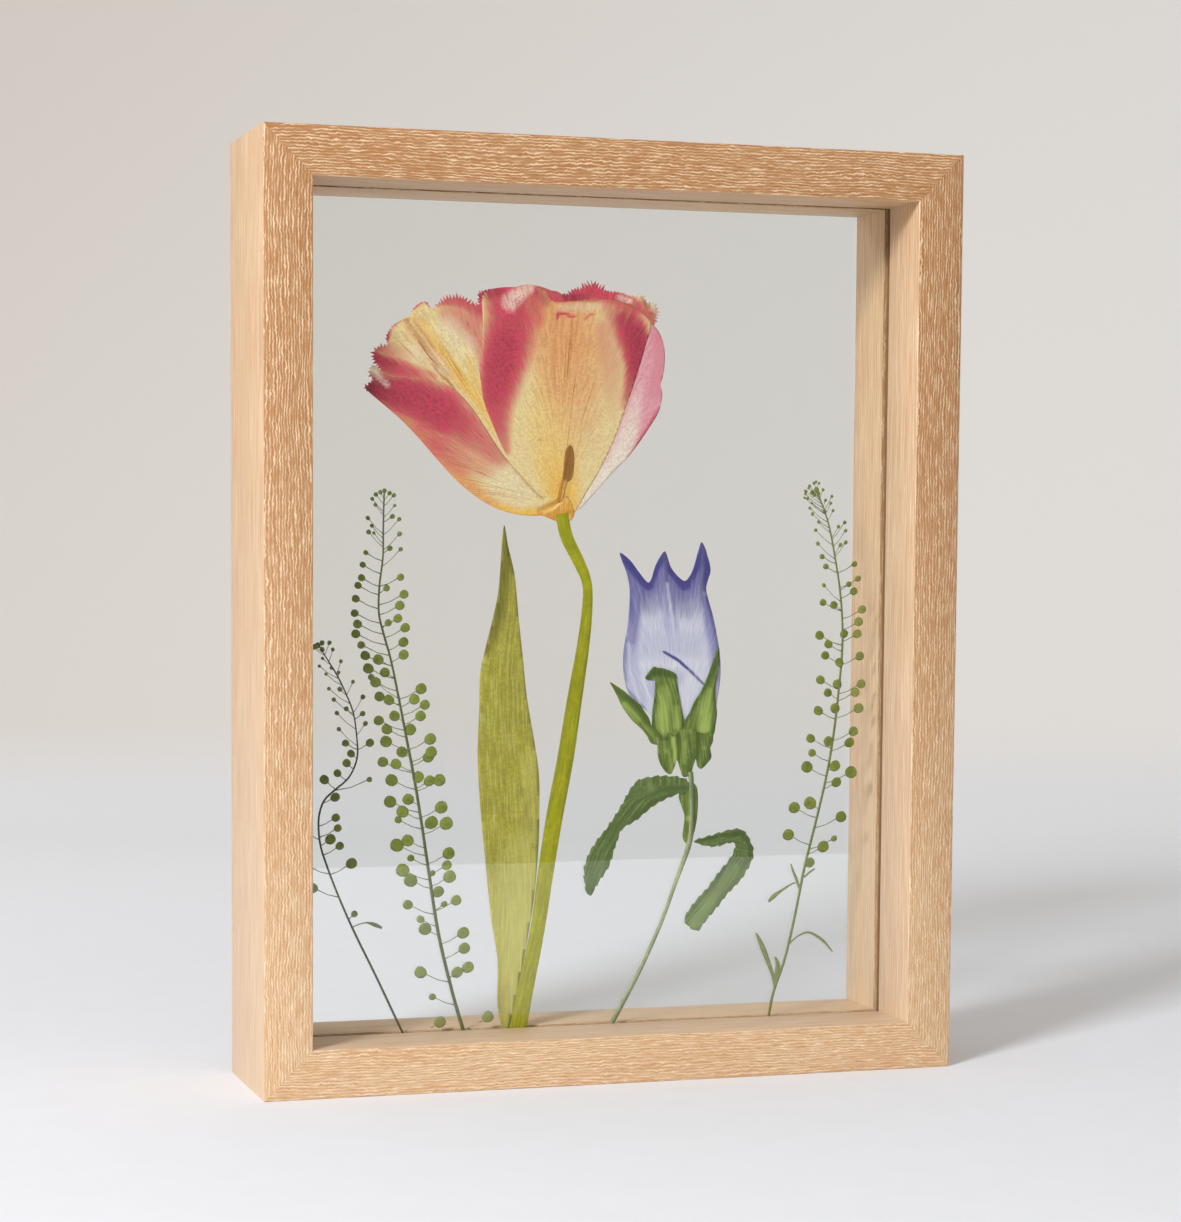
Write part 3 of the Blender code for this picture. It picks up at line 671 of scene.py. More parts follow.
def make_rail(name, node, along, turn, settings, materials):
    """A moulded length of oak with a groove for the panes, mitred at both ends."""
    half_depth = HIGH.y
    groove_half = -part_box("glass_front")[0].y + GROOVE_SLACK
    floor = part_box("edge_tape_bottom")[0].z - FLOOR_SLACK
    profile = ((-half_depth, 0), (half_depth, 0), (half_depth, FACE), (groove_half, FACE),
               (groove_half, floor), (-groove_half, floor), (-groove_half, FACE), (-half_depth, FACE))
    bm = bmesh.new()
    end = bm.faces.new([bm.verts.new((-along / 2, y, z)) for y, z in profile])
    drawn = bmesh.ops.extrude_face_region(bm, geom=[end], use_keep_orig=True)["geom"]
    bmesh.ops.translate(bm, verts=added_verts(drawn), vec=(along, 0, 0))
    bmesh.ops.recalc_face_normals(bm, faces=bm.faces)
    gap = settings.mitre_gap / 2 * math.sqrt(2)
    for side in (-1, 1):
        bmesh.ops.bisect_plane(bm, geom=bm.verts[:] + bm.edges[:] + bm.faces[:], dist=1e-7,
                               plane_co=(side * (along / 2 - gap), 0, 0),
                               plane_no=(side, 0, 1), clear_outer=True)
        rim = [e for e in bm.edges if e.is_boundary]
        bmesh.ops.contextual_create(bm, geom=rim)

    def long_edges(half):
        return [e for e in bm.edges if abs(e.verts[0].co.x - e.verts[1].co.x) > along / 4
                and abs(abs(e.verts[0].co.y) - half) < SNAP]
    bevel(bm, long_edges(half_depth), settings.arris, 3)
    lips = [e for e in long_edges(groove_half) if abs(e.verts[0].co.z - FACE) < SNAP]
    bevel(bm, lips, settings.arris / 2, 2)
    layer = bm.loops.layers.uv.new("UVMap")
    start = sum(map(ord, name)) * 7 * MM
    for face in bm.faces:
        flat = abs(face.normal.y) > abs(face.normal.z)
        face.material_index = 0 if flat else 1
        for loop in face.loops:
            x, y, z = loop.vert.co
            across = z + (REAR_GRAIN if y > 0 else 0) if flat else y + INNER_GRAIN
            loop[layer].uv = (x + start, across + start)
        face.smooth = True
    rotation = Matrix.Rotation(math.radians(turn), 4, "Y")
    middle = (LOW + HIGH) / 2
    foot = {0: (0, 0, LOW.z), 180: (0, 0, HIGH.z), 90: (LOW.x, 0, middle.z), -90: (HIGH.x, 0, middle.z)}
    bmesh.ops.transform(bm, matrix=Matrix.Translation(foot[turn]) @ rotation, verts=bm.verts)
    piece = finish_piece(name, bm, materials, "oak", node)
    piece.data.set_sharp_from_angle(angle=math.radians(40))
    return piece


class FLOATFRAME_OT_rails(bpy.types.Operator):
    """Model the four mitred oak rails"""
    bl_idname = "floatframe.rails"
    bl_label = "Rails"

    def execute(self, context):
        settings = context.scene.floatframe_rails
        materials = [oak_face_material(settings), oak_side_material(settings)]
        width, height = HIGH.x - LOW.x, HIGH.z - LOW.z
        for node, along, turn in (("rail_bottom", width, 0), ("rail_top", width, 180),
                                  ("stile_left", height, 90), ("stile_right", height, -90)):
            make_rail("oak_" + node, node, along, turn, settings, materials)
        return {"FINISHED"}


# Glazing

def make_pane(name, node, settings, material):
    """A pane with seamed edges, of its CAD node's size."""
    low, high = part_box(node)
    size, middle = high - low, (low + high) / 2
    bm = bmesh.new()
    bmesh.ops.create_cube(bm, size=1)
    bmesh.ops.scale(bm, vec=size, verts=bm.verts)
    bmesh.ops.translate(bm, vec=middle, verts=bm.verts)
    bevel(bm, bm.edges[:], settings.edge_bevel, 1)
    return finish_piece(name, bm, [material], "glass", node)


class FLOATFRAME_OT_glazing(bpy.types.Operator):
    """Model the panes, and finish their binding and the V-nails in the mitres"""
    bl_idname = "floatframe.glazing"
    bl_label = "Glazing"

    def execute(self, context):
        settings = context.scene.floatframe_glazing
        glass = glass_material()
        make_pane("pane_front", "glass_front", settings, glass)
        make_pane("pane_rear", "glass_rear", settings, glass)
        finishes = {"edge_tape": tape_material(settings), "v_nail": steel_material(settings)}
        for name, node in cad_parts.items():
            for start, material in finishes.items():
                if name.startswith(start):
                    node.data.materials.clear()
                    node.data.materials.append(material)
        return {"FINISHED"}


# Tulip

TULIP_PETALS = {
    # name: node, depth, axis of its veins (foot, tilt in degrees), outline, fringe zones, masks
    "tulip_low_left": ("tulip_petal_low_left", -0.28, (-13, 196, 58), ((-83.3, 237.2), (-82.2, 235.6),
        (-79.5, 233.4), (-75, 229.8), (-70, 225.6), (-64, 219.6), (-58, 213), (-52, 206.8), (-46, 201.8),
        (-40, 198), (-34, 195.6), (-28, 194.4), (-22, 194.2), (-18, 195), (-15, 196.8), (-12.4, 199.6),
        (-10.6, 200.6), (-13.2, 201.4), (-17, 200.4), (-21, 201), (-25, 204.6), (-29, 208.8), (-33.8, 214),
        (-38, 219.6), (-44, 228.4), (-49, 234.4), (-54, 238), (-60, 240.4), (-66, 240.8), (-70, 240.4),
        (-74, 240.8), (-77.2, 242), (-79.2, 244), (-81, 244.2), (-81.6, 241.6), (-80.6, 239.4)),
        ((-82.4, 240, 4.6, 1.1),), {
        "crimson": (((-82, 237, 7, 0.95), (-72, 235.6, 9.5, 1.0), (-64, 233, 11.5, 1.0),
            (-56, 229, 13, 1.0), (-50, 225, 11, 0.85), (-43, 220, 9, 0.7), (-36, 214, 6, 0.6)),
            ((-68, 227, 7, 0.55), (-57, 219, 9, 0.7), (-49, 213, 8, 0.55), (-40, 210, 5, 0.4))),
        "wine": (((-82, 236.6, 3.6, 0.9), (-75, 235.6, 6, 0.6), (-67, 234.4, 8, 0.5), (-58, 230, 8, 0.35),
            (-50, 226, 5, 0.15)),),
        "peach": (((-74, 229.4, 4.5, 0.8), (-64, 219.6, 6, 0.8), (-54, 208.6, 6.5, 0.9),
            (-46, 202.4, 5, 0.9), (-38, 197.2, 3.4, 0.6)),),
        "gold": (((-55, 209.6, 3, 0.5), (-47, 202.4, 3, 0.95), (-39, 197.4, 2.6, 0.9),
            (-29, 194.6, 2.4, 0.9), (-20, 195, 3, 0.95), (-14, 199.6, 2.4, 1.0)),),
        "pale": (((-80.8, 243.4, 2, 0.8), (-78.4, 240.4, 1.2, 0.7), (-75.6, 238, 1.1, 0.6)),
            ((-34.4, 206, 8, 0.3), (-28, 202, 6, 0.3))),
        "vein": (((-52, 214, 6, 0.6), (-42, 206, 6, 0.8), (-28, 200, 5, 0.7)),),
        "fold": (((-22, 196.4, 1.0, 0.7), (-16.4, 198.6, 1.0, 0.9), (-11.6, 200.8, 1.0, 0.9)),
            ((-33, 214, 0.9, 0.4), (-26, 205.4, 0.9, 0.6), (-20.4, 200.4, 0.9, 0.7))),
    }),
    "tulip_front": ("tulip_petal_front", -0.22, (-13, 192, 3), ((-42.2, 268), (-42.1, 262), (-42, 256),
        (-42.4, 250), (-43.3, 245), (-42.6, 239), (-41.6, 233), (-38.6, 225.6), (-34.6, 217), (-30, 210),
        (-25, 205), (-20, 201), (-16, 197), (-12, 194.6), (-9, 195), (-5, 201.4), (0, 209.6), (5, 219.6),
        (9.4, 231), (13.6, 243), (16.8, 253.6), (18.8, 260), (17.4, 262.8), (14, 265.6), (10, 267.6),
        (5, 268.7), (0, 268.9), (-8, 268.1), (-16, 267.6), (-19, 270.4), (-22.4, 272.4), (-27, 273),
        (-31, 272), (-36, 271.7), (-40, 270.6)), ((-42, 270, 4, 0.8),), {
        "crimson": (((-34, 270, 11, 0.95), (-32, 262, 12, 0.95), (-33, 255, 12.5, 1.0),
            (-35, 247, 12, 1.05), (-37, 239, 11, 1.0), (-38, 231, 9, 0.9), (-37, 224, 7, 0.8),
            (-34.6, 217, 4, 0.65)), ((-25, 269, 6.5, 0.75), (-25, 262, 7, 0.65), (-27, 254, 5, 0.4)),
            ((-17, 270, 3.4, 0.8), (-8, 270, 2.6, 0.8), (2, 269.6, 3.6, 0.7), (12, 266, 6.5, 0.8)),
            ((5, 267, 7, 0.6), (10, 261, 9, 0.9), (13, 254, 8.5, 1.05), (13.6, 247, 6.5, 1.0),
            (12, 240, 5, 0.75), (9.6, 233, 3.4, 0.5)), ((3, 258, 7, 0.4), (5, 247, 7, 0.4),
            (5, 236, 5, 0.3), (5, 228, 3, 0.2)), ((-15.6, 261.8, 0.7, 0.9), (-15, 263.6, 1.1, 1.0),
            (-13, 263.6, 0.9, 1.0), (-11, 263, 0.8, 0.9), (-9.4, 262.4, 0.7, 0.7)), ((-5.6, 262, 0.5, 0.6),
            (-3.6, 263.4, 0.7, 0.7), (-1.8, 264, 0.6, 0.6))),
        "wine": (((-34, 253, 6, 0.35), (-36, 244, 6.5, 0.4), (-38, 235, 4.5, 0.3)), ((-40, 269.6, 3, 0.7),
            (-36, 271, 1.6, 0.6)), ((-22, 271, 2.4, 0.6), (-19.4, 267, 2.2, 0.5)), ((9.4, 262, 4.4, 0.55),
            (13.4, 257, 5.4, 0.75), (14, 250, 4.6, 0.75), (12.6, 243, 3, 0.6), (10, 235, 1.6, 0.4))),
        "peach": (((-15, 264, 18, 0.95), (-12, 252, 18, 0.95), (-10, 241, 16, 0.8), (-8, 231, 13, 0.5),
            (-6, 222, 9, 0.2)),),
        "gold": (((-13, 198, 7, 1.0), (-14, 206, 9, 0.8), (-16, 216, 11, 0.5), (-18, 228, 11, 0.35),
            (-17, 242, 8, 0.25)), ((-32, 267, 3, 0.5), (-30.6, 270.4, 2.4, 0.8), (-26.6, 271.6, 2.2, 0.7))),
        "pale": (((-32.4, 267, 4, 0.6), (-29.4, 269.6, 3.4, 0.6), (-26, 271.6, 2.6, 0.5)),
            ((-14, 265.6, 1.6, 0.35), (-6, 266, 1.8, 0.35), (0, 266.6, 1.4, 0.25))),
        "vein": (((-10, 262, 8, 0.6), (-9, 250, 10, 0.8), (-10, 236, 11, 0.8), (-12, 220, 9, 0.7),
            (-13, 206, 6, 0.6)),),
        "fold": (((-13.6, 205, 1.6, 0.5), (-12.8, 200.6, 1.8, 0.5)), ((-21.4, 220.4, 0.9, 0.7),),
            ((-16, 267.8, 0.9, 0.6), (-8, 268.3, 0.9, 0.6), (0, 269, 0.9, 0.5), (6, 268.6, 0.9, 0.5),
            (12, 266.6, 0.9, 0.5))),
    }),
    "tulip_inner_left": ("tulip_petal_inner_left", -0.17, (-20, 200, 40), ((-80.2, 249.6), (-78.2, 250.8),
        (-75.6, 251.4), (-75.9, 254), (-74.6, 256.6), (-73, 258.4), (-70, 260), (-67.6, 261.2),
        (-66.4, 263.8), (-64.8, 265.4), (-62, 266.2), (-60.2, 264), (-57.4, 266), (-54, 267.6), (-49, 268),
        (-45.8, 265.4), (-43, 266), (-38, 262), (-34, 250), (-28, 235), (-20, 214), (-17, 204), (-20, 199),
        (-28, 203), (-40, 214), (-52, 228), (-62, 236), (-72, 238.4), (-76.6, 241.6), (-79.4, 244.8),
        (-80.4, 247)), ((-79, 248, 6, 1.3), (-74, 255.6, 4.4, 0.6), (-68, 261, 5, 0.4), (-62, 266, 3, 0.3),
        (-53, 267, 6.4, 2.0), (-46, 266.6, 4, 1.8)), {
        "crimson": (((-82, 246.6, 5, 1.0), (-74, 244, 5, 0.95), (-67, 242, 4.4, 0.8), (-60, 240.6, 3, 0.5)),
            ((-80, 250.4, 4.4, 0.8), (-74, 249.4, 4.4, 0.5), (-68, 248, 3, 0.3)), ((-80, 251, 1.8, 0.8),
            (-76, 253.4, 1.8, 0.9), (-75, 257.6, 1.3, 0.9), (-70, 261, 1.1, 0.8), (-67, 263.6, 1.0, 0.8),
            (-63, 267, 1.2, 0.8), (-60.4, 264.6, 0.9, 0.6)), ((-58, 267, 3.4, 0.8), (-53, 268, 5, 0.85),
            (-48, 268, 6.4, 0.85), (-43, 265, 6.4, 0.85), (-42.6, 257, 4, 0.5)), ((-53, 263, 7, 0.5),
            (-46, 259, 7.5, 0.6), (-42, 250, 4, 0.55), (-42, 244, 2.4, 0.4))),
        "wine": (((-82, 248, 1.8, 0.7), (-78, 246.4, 2, 0.5), (-73, 245, 1.4, 0.4)),
            ((-76, 253.6, 1.0, 0.6), (-75.4, 256.6, 0.8, 0.6))),
        "peach": (((-66, 256, 5, 0.4), (-60, 248, 5, 0.4), (-52, 239, 4, 0.3)),),
        "gold": (((-69.4, 260, 0.8, 0.8), (-66, 262, 0.7, 0.6)), ((-64, 260, 1.4, 0.5),
            (-57, 250, 2.0, 0.7), (-50, 241, 2.6, 0.8), (-44, 234, 3, 0.7), (-38, 225, 3, 0.5)),
            ((-50, 256, 1.2, 0.3), (-46, 244, 1.6, 0.5), (-43, 236, 2, 0.5))),
        "pale": (((-54, 258, 5, 0.35), (-48, 252, 5, 0.35)), ((-66, 250, 4, 0.3), (-56, 244, 3, 0.3))),
        "vein": (((-72, 256, 4, 0.7), (-62, 250, 7, 0.9), (-52, 240, 6, 0.8), (-44, 231, 5, 0.6)),),
        "fold": (((-69, 260, 0.9, 0.7), (-62, 251, 0.8, 0.6), (-54, 241.6, 0.8, 0.4)),
            ((-66.6, 260, 0.8, 0.5), (-59.6, 251, 0.8, 0.4)), ((-69.6, 260.4, 1.4, 0.8),
            (-68.6, 260, 1.4, 0.8))),
    }),
    "tulip_back_left": ("tulip_petal_back_left", -0.12, (-15, 196, 14), ((-43.6, 268.4), (-43, 269.8),
        (-40, 271), (-35, 271.9), (-30, 272.2), (-26.6, 273.1), (-22, 272.7), (-18, 271.5), (-14, 270),
        (-12, 262), (-16, 230), (-18, 206), (-22, 206), (-32, 232), (-40, 252), (-42.8, 262)),
        ((-43, 269, 4, 0.9),), {
        "crimson": (((-44, 268, 9, 1.0), (-30, 268, 10, 0.9), (-16, 268, 9, 0.9)), ((-40, 258, 8, 0.9),
            (-30, 240, 10, 0.6))),
        "wine": (((-44, 269, 3, 0.8), (-38, 271.6, 1.6, 0.7), (-32, 272, 1.2, 0.4)),),
        "pale": (((-27.4, 272.8, 1.5, 0.6), (-24, 272.8, 1.2, 0.4)),),
        "peach": (((-28, 272.6, 2, 0.6), (-24, 272.6, 2, 0.6)),),
    }),
    "tulip_back_right": ("tulip_petal_back_right", -0.07, (-14, 196, -12), ((-24, 270), (-18.6, 271.4),
        (-15, 270.6), (-12, 270.2), (-9, 272), (-6, 272.4), (-3, 274.2), (0, 273), (3, 271.6), (7, 271.4),
        (10, 270.3), (13, 270.6), (15.6, 270.6), (17.4, 267.6), (20.4, 267.4), (21, 265), (20.2, 262),
        (18.6, 257), (13, 240), (8, 228), (-2, 208), (-14, 202), (-20, 230), (-24, 262)),
        ((-10, 271.4, 4, 1.2), (-3, 273.6, 6, 2.4), (4, 271.6, 5, 1.0), (10, 270.6, 5, 0.9),
        (15, 270, 4, 1.2), (20.4, 265, 5, 1.6)), {
        "crimson": (((-22, 270, 5, 0.9), (-12, 270, 5, 1.0), (-3, 273, 7, 1.0), (5, 270, 5, 0.95),
            (12, 267, 5, 0.8), (18, 262, 5, 0.8)), ((10, 256, 8, 0.8), (0, 230, 8, 0.5))),
        "wine": (((-16, 269.2, 2, 0.8), (-9, 269, 2, 0.95), (-4, 269.4, 1.6, 0.6)), ((-3, 275, 2, 0.4),),
            ((17, 268, 2, 0.6), (20.6, 263, 1.6, 0.6))),
        "pale": (((7, 269.4, 1.4, 0.6), (11, 268.6, 1.4, 0.6)), ((13.4, 271, 2, 0.6),
            (15.4, 270.4, 2, 0.7)), ((19, 266.6, 1.8, 0.5), (21.4, 267.4, 1.8, 0.8),
            (20.4, 263, 1.2, 0.5))),
        "fold": (((15, 270, 0.9, 0.8), (18, 266.4, 0.9, 0.8)), ((20.8, 268, 0.9, 0.8),
            (19.6, 262, 0.9, 0.8))),
    }),
    "tulip_right": ("tulip_petal_right", -0.17, (-13, 196, -26), ((16, 262), (19.6, 260.4), (22, 257.6),
        (23.6, 253), (23.9, 248), (23.3, 243), (22.4, 240), (23.1, 236.4), (21.8, 230.6), (18.6, 225.4),
        (14.4, 219.4), (10, 214), (7.4, 211.6), (3, 207), (-2, 201.6), (-7, 196.6), (-10, 197), (-4, 208),
        (2, 220), (8, 234), (13, 248)), (), {
        "crimson": (((21.6, 258, 4, 0.35), (22, 248, 4, 0.3), (21, 238, 5, 0.3)), ((21.6, 230.6, 1.8, 0.6),
            (18, 224.6, 1.6, 0.7), (13.4, 218, 1.2, 0.75), (9, 213, 0.9, 0.8))),
        "pale": (((-7, 198, 6, 1.0), (1, 206, 6, 1.0), (7, 214, 5, 0.95), (11, 224, 4.6, 0.85),
            (13, 233, 3.4, 0.5), (15, 240, 2, 0.2)),),
    }),
}


def vein_flow(foot_x, foot_z, tilt, spread=55.0, bend=1.5):
    """Veins that leave a petal's foot along its axis and curve out to its margins."""
    turn = math.radians(tilt)

    def flow(x, z):
        forward = max(-(x - foot_x) * math.sin(turn) + (z - foot_z) * math.cos(turn), 4.0)
        aside = (x - foot_x) * math.cos(turn) + (z - foot_z) * math.sin(turn)
        return math.hypot(forward, aside), aside * (spread / forward) ** bend
    return flow


def petal_relief(seed, flow):
    """Low ribs along the veins, and a few shallow waves."""
    waves = ripple(seed, 0.03, 9)

    def relief(x, z):
        along, across = flow(x, z)
        return waves(x, z) + 0.015 * noise.noise(Vector((along / 22, across / 2.2, seed)))
    return relief


STAMEN = ((-15.2, 199), (-14.6, 202.4), (-13.5, 206.6), (-12.9, 210), (-12.7, 214), (-11.9, 217.4),
    (-10.4, 218.6), (-9.5, 217), (-9.2, 213), (-9.6, 209), (-10.2, 206.8), (-11.6, 206), (-12.6, 202.4),
    (-13.2, 199.4))
RECEPTACLE = ((-22.4, 195), (-18.6, 193.6), (-15, 192.3), (-10.6, 192.4), (-8.9, 194.6), (-9.4, 197.4),
    (-10.4, 199.6), (-12.6, 200.8), (-14, 199.4), (-16.6, 196.8), (-19.4, 195.8))
TULIP_STEM = ((-13.4, 195, 4.9), (-13, 192.8, 4.8), (-11.4, 186.6, 4.6), (-6.9, 178, 4.2),
    (-4.2, 171.5, 3.6), (-3.8, 164, 3.8), (-5.2, 150, 4.6), (-8.4, 130, 5.6), (-11.5, 110, 6.1),
    (-15.3, 90, 6.2), (-18.5, 70, 5.9), (-21.4, 50, 5.4), (-25.5, 30, 6), (-28, 17, 6.4), (-28.8, 13, 6.4))
LEAF_MIDDLE = ((-34, 190), (-32.5, 176), (-32.5, 160), (-34, 140), (-33.5, 120), (-32, 100), (-31, 80),
    (-30.6, 55), (-31.5, 35), (-32.6, 17))


def grow_stalk(bm, spine, depth, flatness, sides=10):
    """A flattened stem along (x, z, width) points: a ring is drawn out along them and closed."""
    faces_before = set(bm.faces)
    ring = bmesh.ops.create_circle(bm, segments=sides, radius=1)["verts"]
    unit = [v.co.copy() for v in ring]
    bm.faces.new(ring)
    for i, (x, z, width) in enumerate(spine):
        before, after = spine[max(i - 1, 0)], spine[min(i + 1, len(spine) - 1)]
        run = Vector((after[0] - before[0], 0, after[1] - before[1])).normalized()
        side = Vector((run.z, 0, -run.x))
        if i:
            edges = [bm.edges.get((a, b)) for a, b in zip(ring, ring[1:] + ring[:1])]
            fresh = set(added_verts(bmesh.ops.extrude_edge_only(bm, edges=edges)["geom"]))
            ring = [next(e.other_vert(v) for e in v.link_edges if e.other_vert(v) in fresh) for v in ring]
        for vert, at in zip(ring, unit):
            offset = side * at.x * width / 2 + Vector((0, 1, 0)) * at.y * width / 2 * flatness
            vert.co = (Vector((x, depth, z)) + offset) * MM
    bm.faces.new(ring)
    fresh_faces = [f for f in bm.faces if f not in faces_before]
    bmesh.ops.recalc_face_normals(bm, faces=fresh_faces)
    return fresh_faces


def stalk_uv(bm, faces, spine):
    """Fibres that run along a stem, wherever it bends."""
    layer = bm.loops.layers.uv.get("UVMap") or bm.loops.layers.uv.new("UVMap")
    lengths = [0.0]
    for a, b in zip(spine, spine[1:]):
        lengths.append(lengths[-1] + math.dist(a[:2], b[:2]))
    for face in faces:
        for loop in face.loops:
            x, z = loop.vert.co.x / MM, loop.vert.co.z / MM
            i = min(range(len(spine)), key=lambda k: math.dist(spine[k][:2], (x, z)))
            before, after = spine[max(i - 1, 0)], spine[min(i + 1, len(spine) - 1)]
            run = Vector((after[0] - before[0], after[1] - before[1])).normalized()
            gap = Vector((x - spine[i][0], z - spine[i][1]))
            across = gap.x * run.y - gap.y * run.x
            loop[layer].uv = ((lengths[i] + gap.dot(run)) * MM, (across + loop.vert.co.y / MM) * MM)


def make_stem(name, node, spine, depth, flatness, material, slot, strokes=None):
    spine = smoothed(spine, 1.6)
    bm = bmesh.new()
    faces = grow_stalk(bm, spine, depth, flatness, 14)
    stalk_uv(bm, faces, spine)
    piece = finish_piece(name, bm, [material], slot, node, smooth=True)
    piece.data.set_sharp_from_angle(angle=math.radians(60))
    paint(piece, strokes or {})
    return piece


class FLOATFRAME_OT_tulip(bpy.types.Operator):
    """Model the pressed tulip: fringed petals, stamen, receptacle, stem and leaf"""
    bl_idname = "floatframe.tulip"
    bl_label = "Tulip"

    def execute(self, context):
        tulip = context.scene.floatframe_tulip
        grounds = {"petal_cream": tulip.cream, "petal_red": tulip.cream, "petal_pink": tulip.pink}
        materials = {name: petal_material(name, tulip, ground) for name, ground in grounds.items()}
        slots = {"tulip_front": "petal_cream", "tulip_inner_left": "petal_cream", "tulip_right": "petal_pink"}
        for seed, (name, parts) in enumerate(TULIP_PETALS.items(), 1):
            node, depth, axis, outline, zones, strokes = parts
            outline = fringed(smoothed(outline, 0.55, closed=True), zones, random.Random(seed))
            slot = slots.get(name, "petal_red")
            flow = vein_flow(*axis)
            piece = sheet(name, outline, depth, petal_relief(seed, flow), flow, materials[slot], slot,
                          [node], tulip.petal_thickness, 0.9)
            paint(piece, strokes)
        self.make_foot(tulip)
        self.make_greens(tulip)
        return {"FINISHED"}

    def make_foot(self, tulip):
        material = leaf_material("stamen", colour("C98420"), colour("7E521F"), colour("E6C67C"), 0.5 * MM)
        flow = spine_flow(((-14.8, 198), (-11.2, 218)))
        stamen = sheet("stamen", smoothed(STAMEN, 0.5, closed=True), -0.46,
                       ripple(11, 0.08, 1.5), flow, material, "stamen", ["tulip_stamen"], 0.1 * MM, 0.5)
        paint(stamen, {"dark": (((-12, 208, 2.4, 1.0), (-11, 213, 2.6, 1.0), (-10.6, 218, 2.2, 0.9)),),
                       "pale": (((-12.7, 202, 1.0, 0.3), (-11.6, 210, 0.5, 0.35)),)})
        material = leaf_material("receptacle", colour("E0A238"), colour("B87422"), colour("F0D690"), 0.6 * MM)
        foot = sheet("receptacle", smoothed(RECEPTACLE, 0.5, closed=True), -0.34,
                     ripple(12, 0.05, 2.5), flow, material, "stamen", ["tulip_receptacle"], 0.08 * MM, 0.5)
        paint(foot, {"pale": (((-19.6, 195.6, 1.0, 0.6), (-16.4, 197, 1.0, 0.9), (-13.4, 199.6, 1.0, 0.9)),
                              ((-11.4, 193.6, 1.2, 0.8),)),
                     "dark": (((-17, 193.2, 0.9, 0.4), (-12.6, 194.2, 0.8, 0.6), (-10, 196, 0.9, 0.5)),)})

    def make_greens(self, tulip):
        stem = leaf_material("stem_green", tulip.stem, colour("686A06"), colour("BDB92E"), 0.9 * MM, 0.5)
        make_stem("tulip_stalk", "tulip_stem", TULIP_STEM, -0.3, 0.1, stem, "stem_green", {
            "dark": (((-1.8, 165, 1.2, 0.6), (-2.8, 150, 1.2, 0.6), (-6, 130, 1.2, 0.5),
                      (-8.8, 110, 1.2, 0.5), (-12.5, 90, 1.2, 0.5)),
                     ((-5.6, 164, 1.0, 0.4), (-7.6, 146, 1.0, 0.4), (-11, 128, 1.2, 0.4),
                      (-14.4, 108, 1.2, 0.4), (-18.2, 90, 1.2, 0.4)))})
        leaf = leaf_material("leaf_olive", tulip.leaf, colour("655F14"), colour("CDC972"), 0.9 * MM)
        piece = sheet("tulip_leaf_blade", smoothed(node_outline("tulip_leaf"), 1.2, closed=True), 0.25,
                      ripple(21, 0.12, 12), spine_flow(LEAF_MIDDLE), leaf, "leaf_olive", ["tulip_leaf"],
                      0.15 * MM, 1.6)
        paint(piece, {"dark": (((-34, 190, 5.4, 1.0), (-33.6, 184, 5.6, 1.0), (-33.8, 178, 5.6, 1.0),
                                (-35.2, 170, 5, 1.0), (-36.7, 162, 5, 1.0), (-38.5, 155, 4.4, 1.0),
                                (-40.8, 148, 3.4, 0.9)),
                               ((-27, 100, 0.9, 0.3), (-23.4, 84, 0.9, 0.3)),
                               ((-42, 128, 1.2, 0.5), (-42.4, 112, 1.0, 0.4)),
                               ((-22.4, 79, 1.3, 0.5),)),
                      "pale": (((-42, 125.5, 1.0, 0.9), (-41.2, 123, 1.0, 0.7)),
                               ((-24, 110, 5, 0.25), (-23, 90, 5, 0.25), (-26, 74, 10, 0.4),
                                (-28, 60, 14, 0.6), (-26, 40, 12, 0.75), (-24, 18, 10, 0.8)))})


# Bellflower

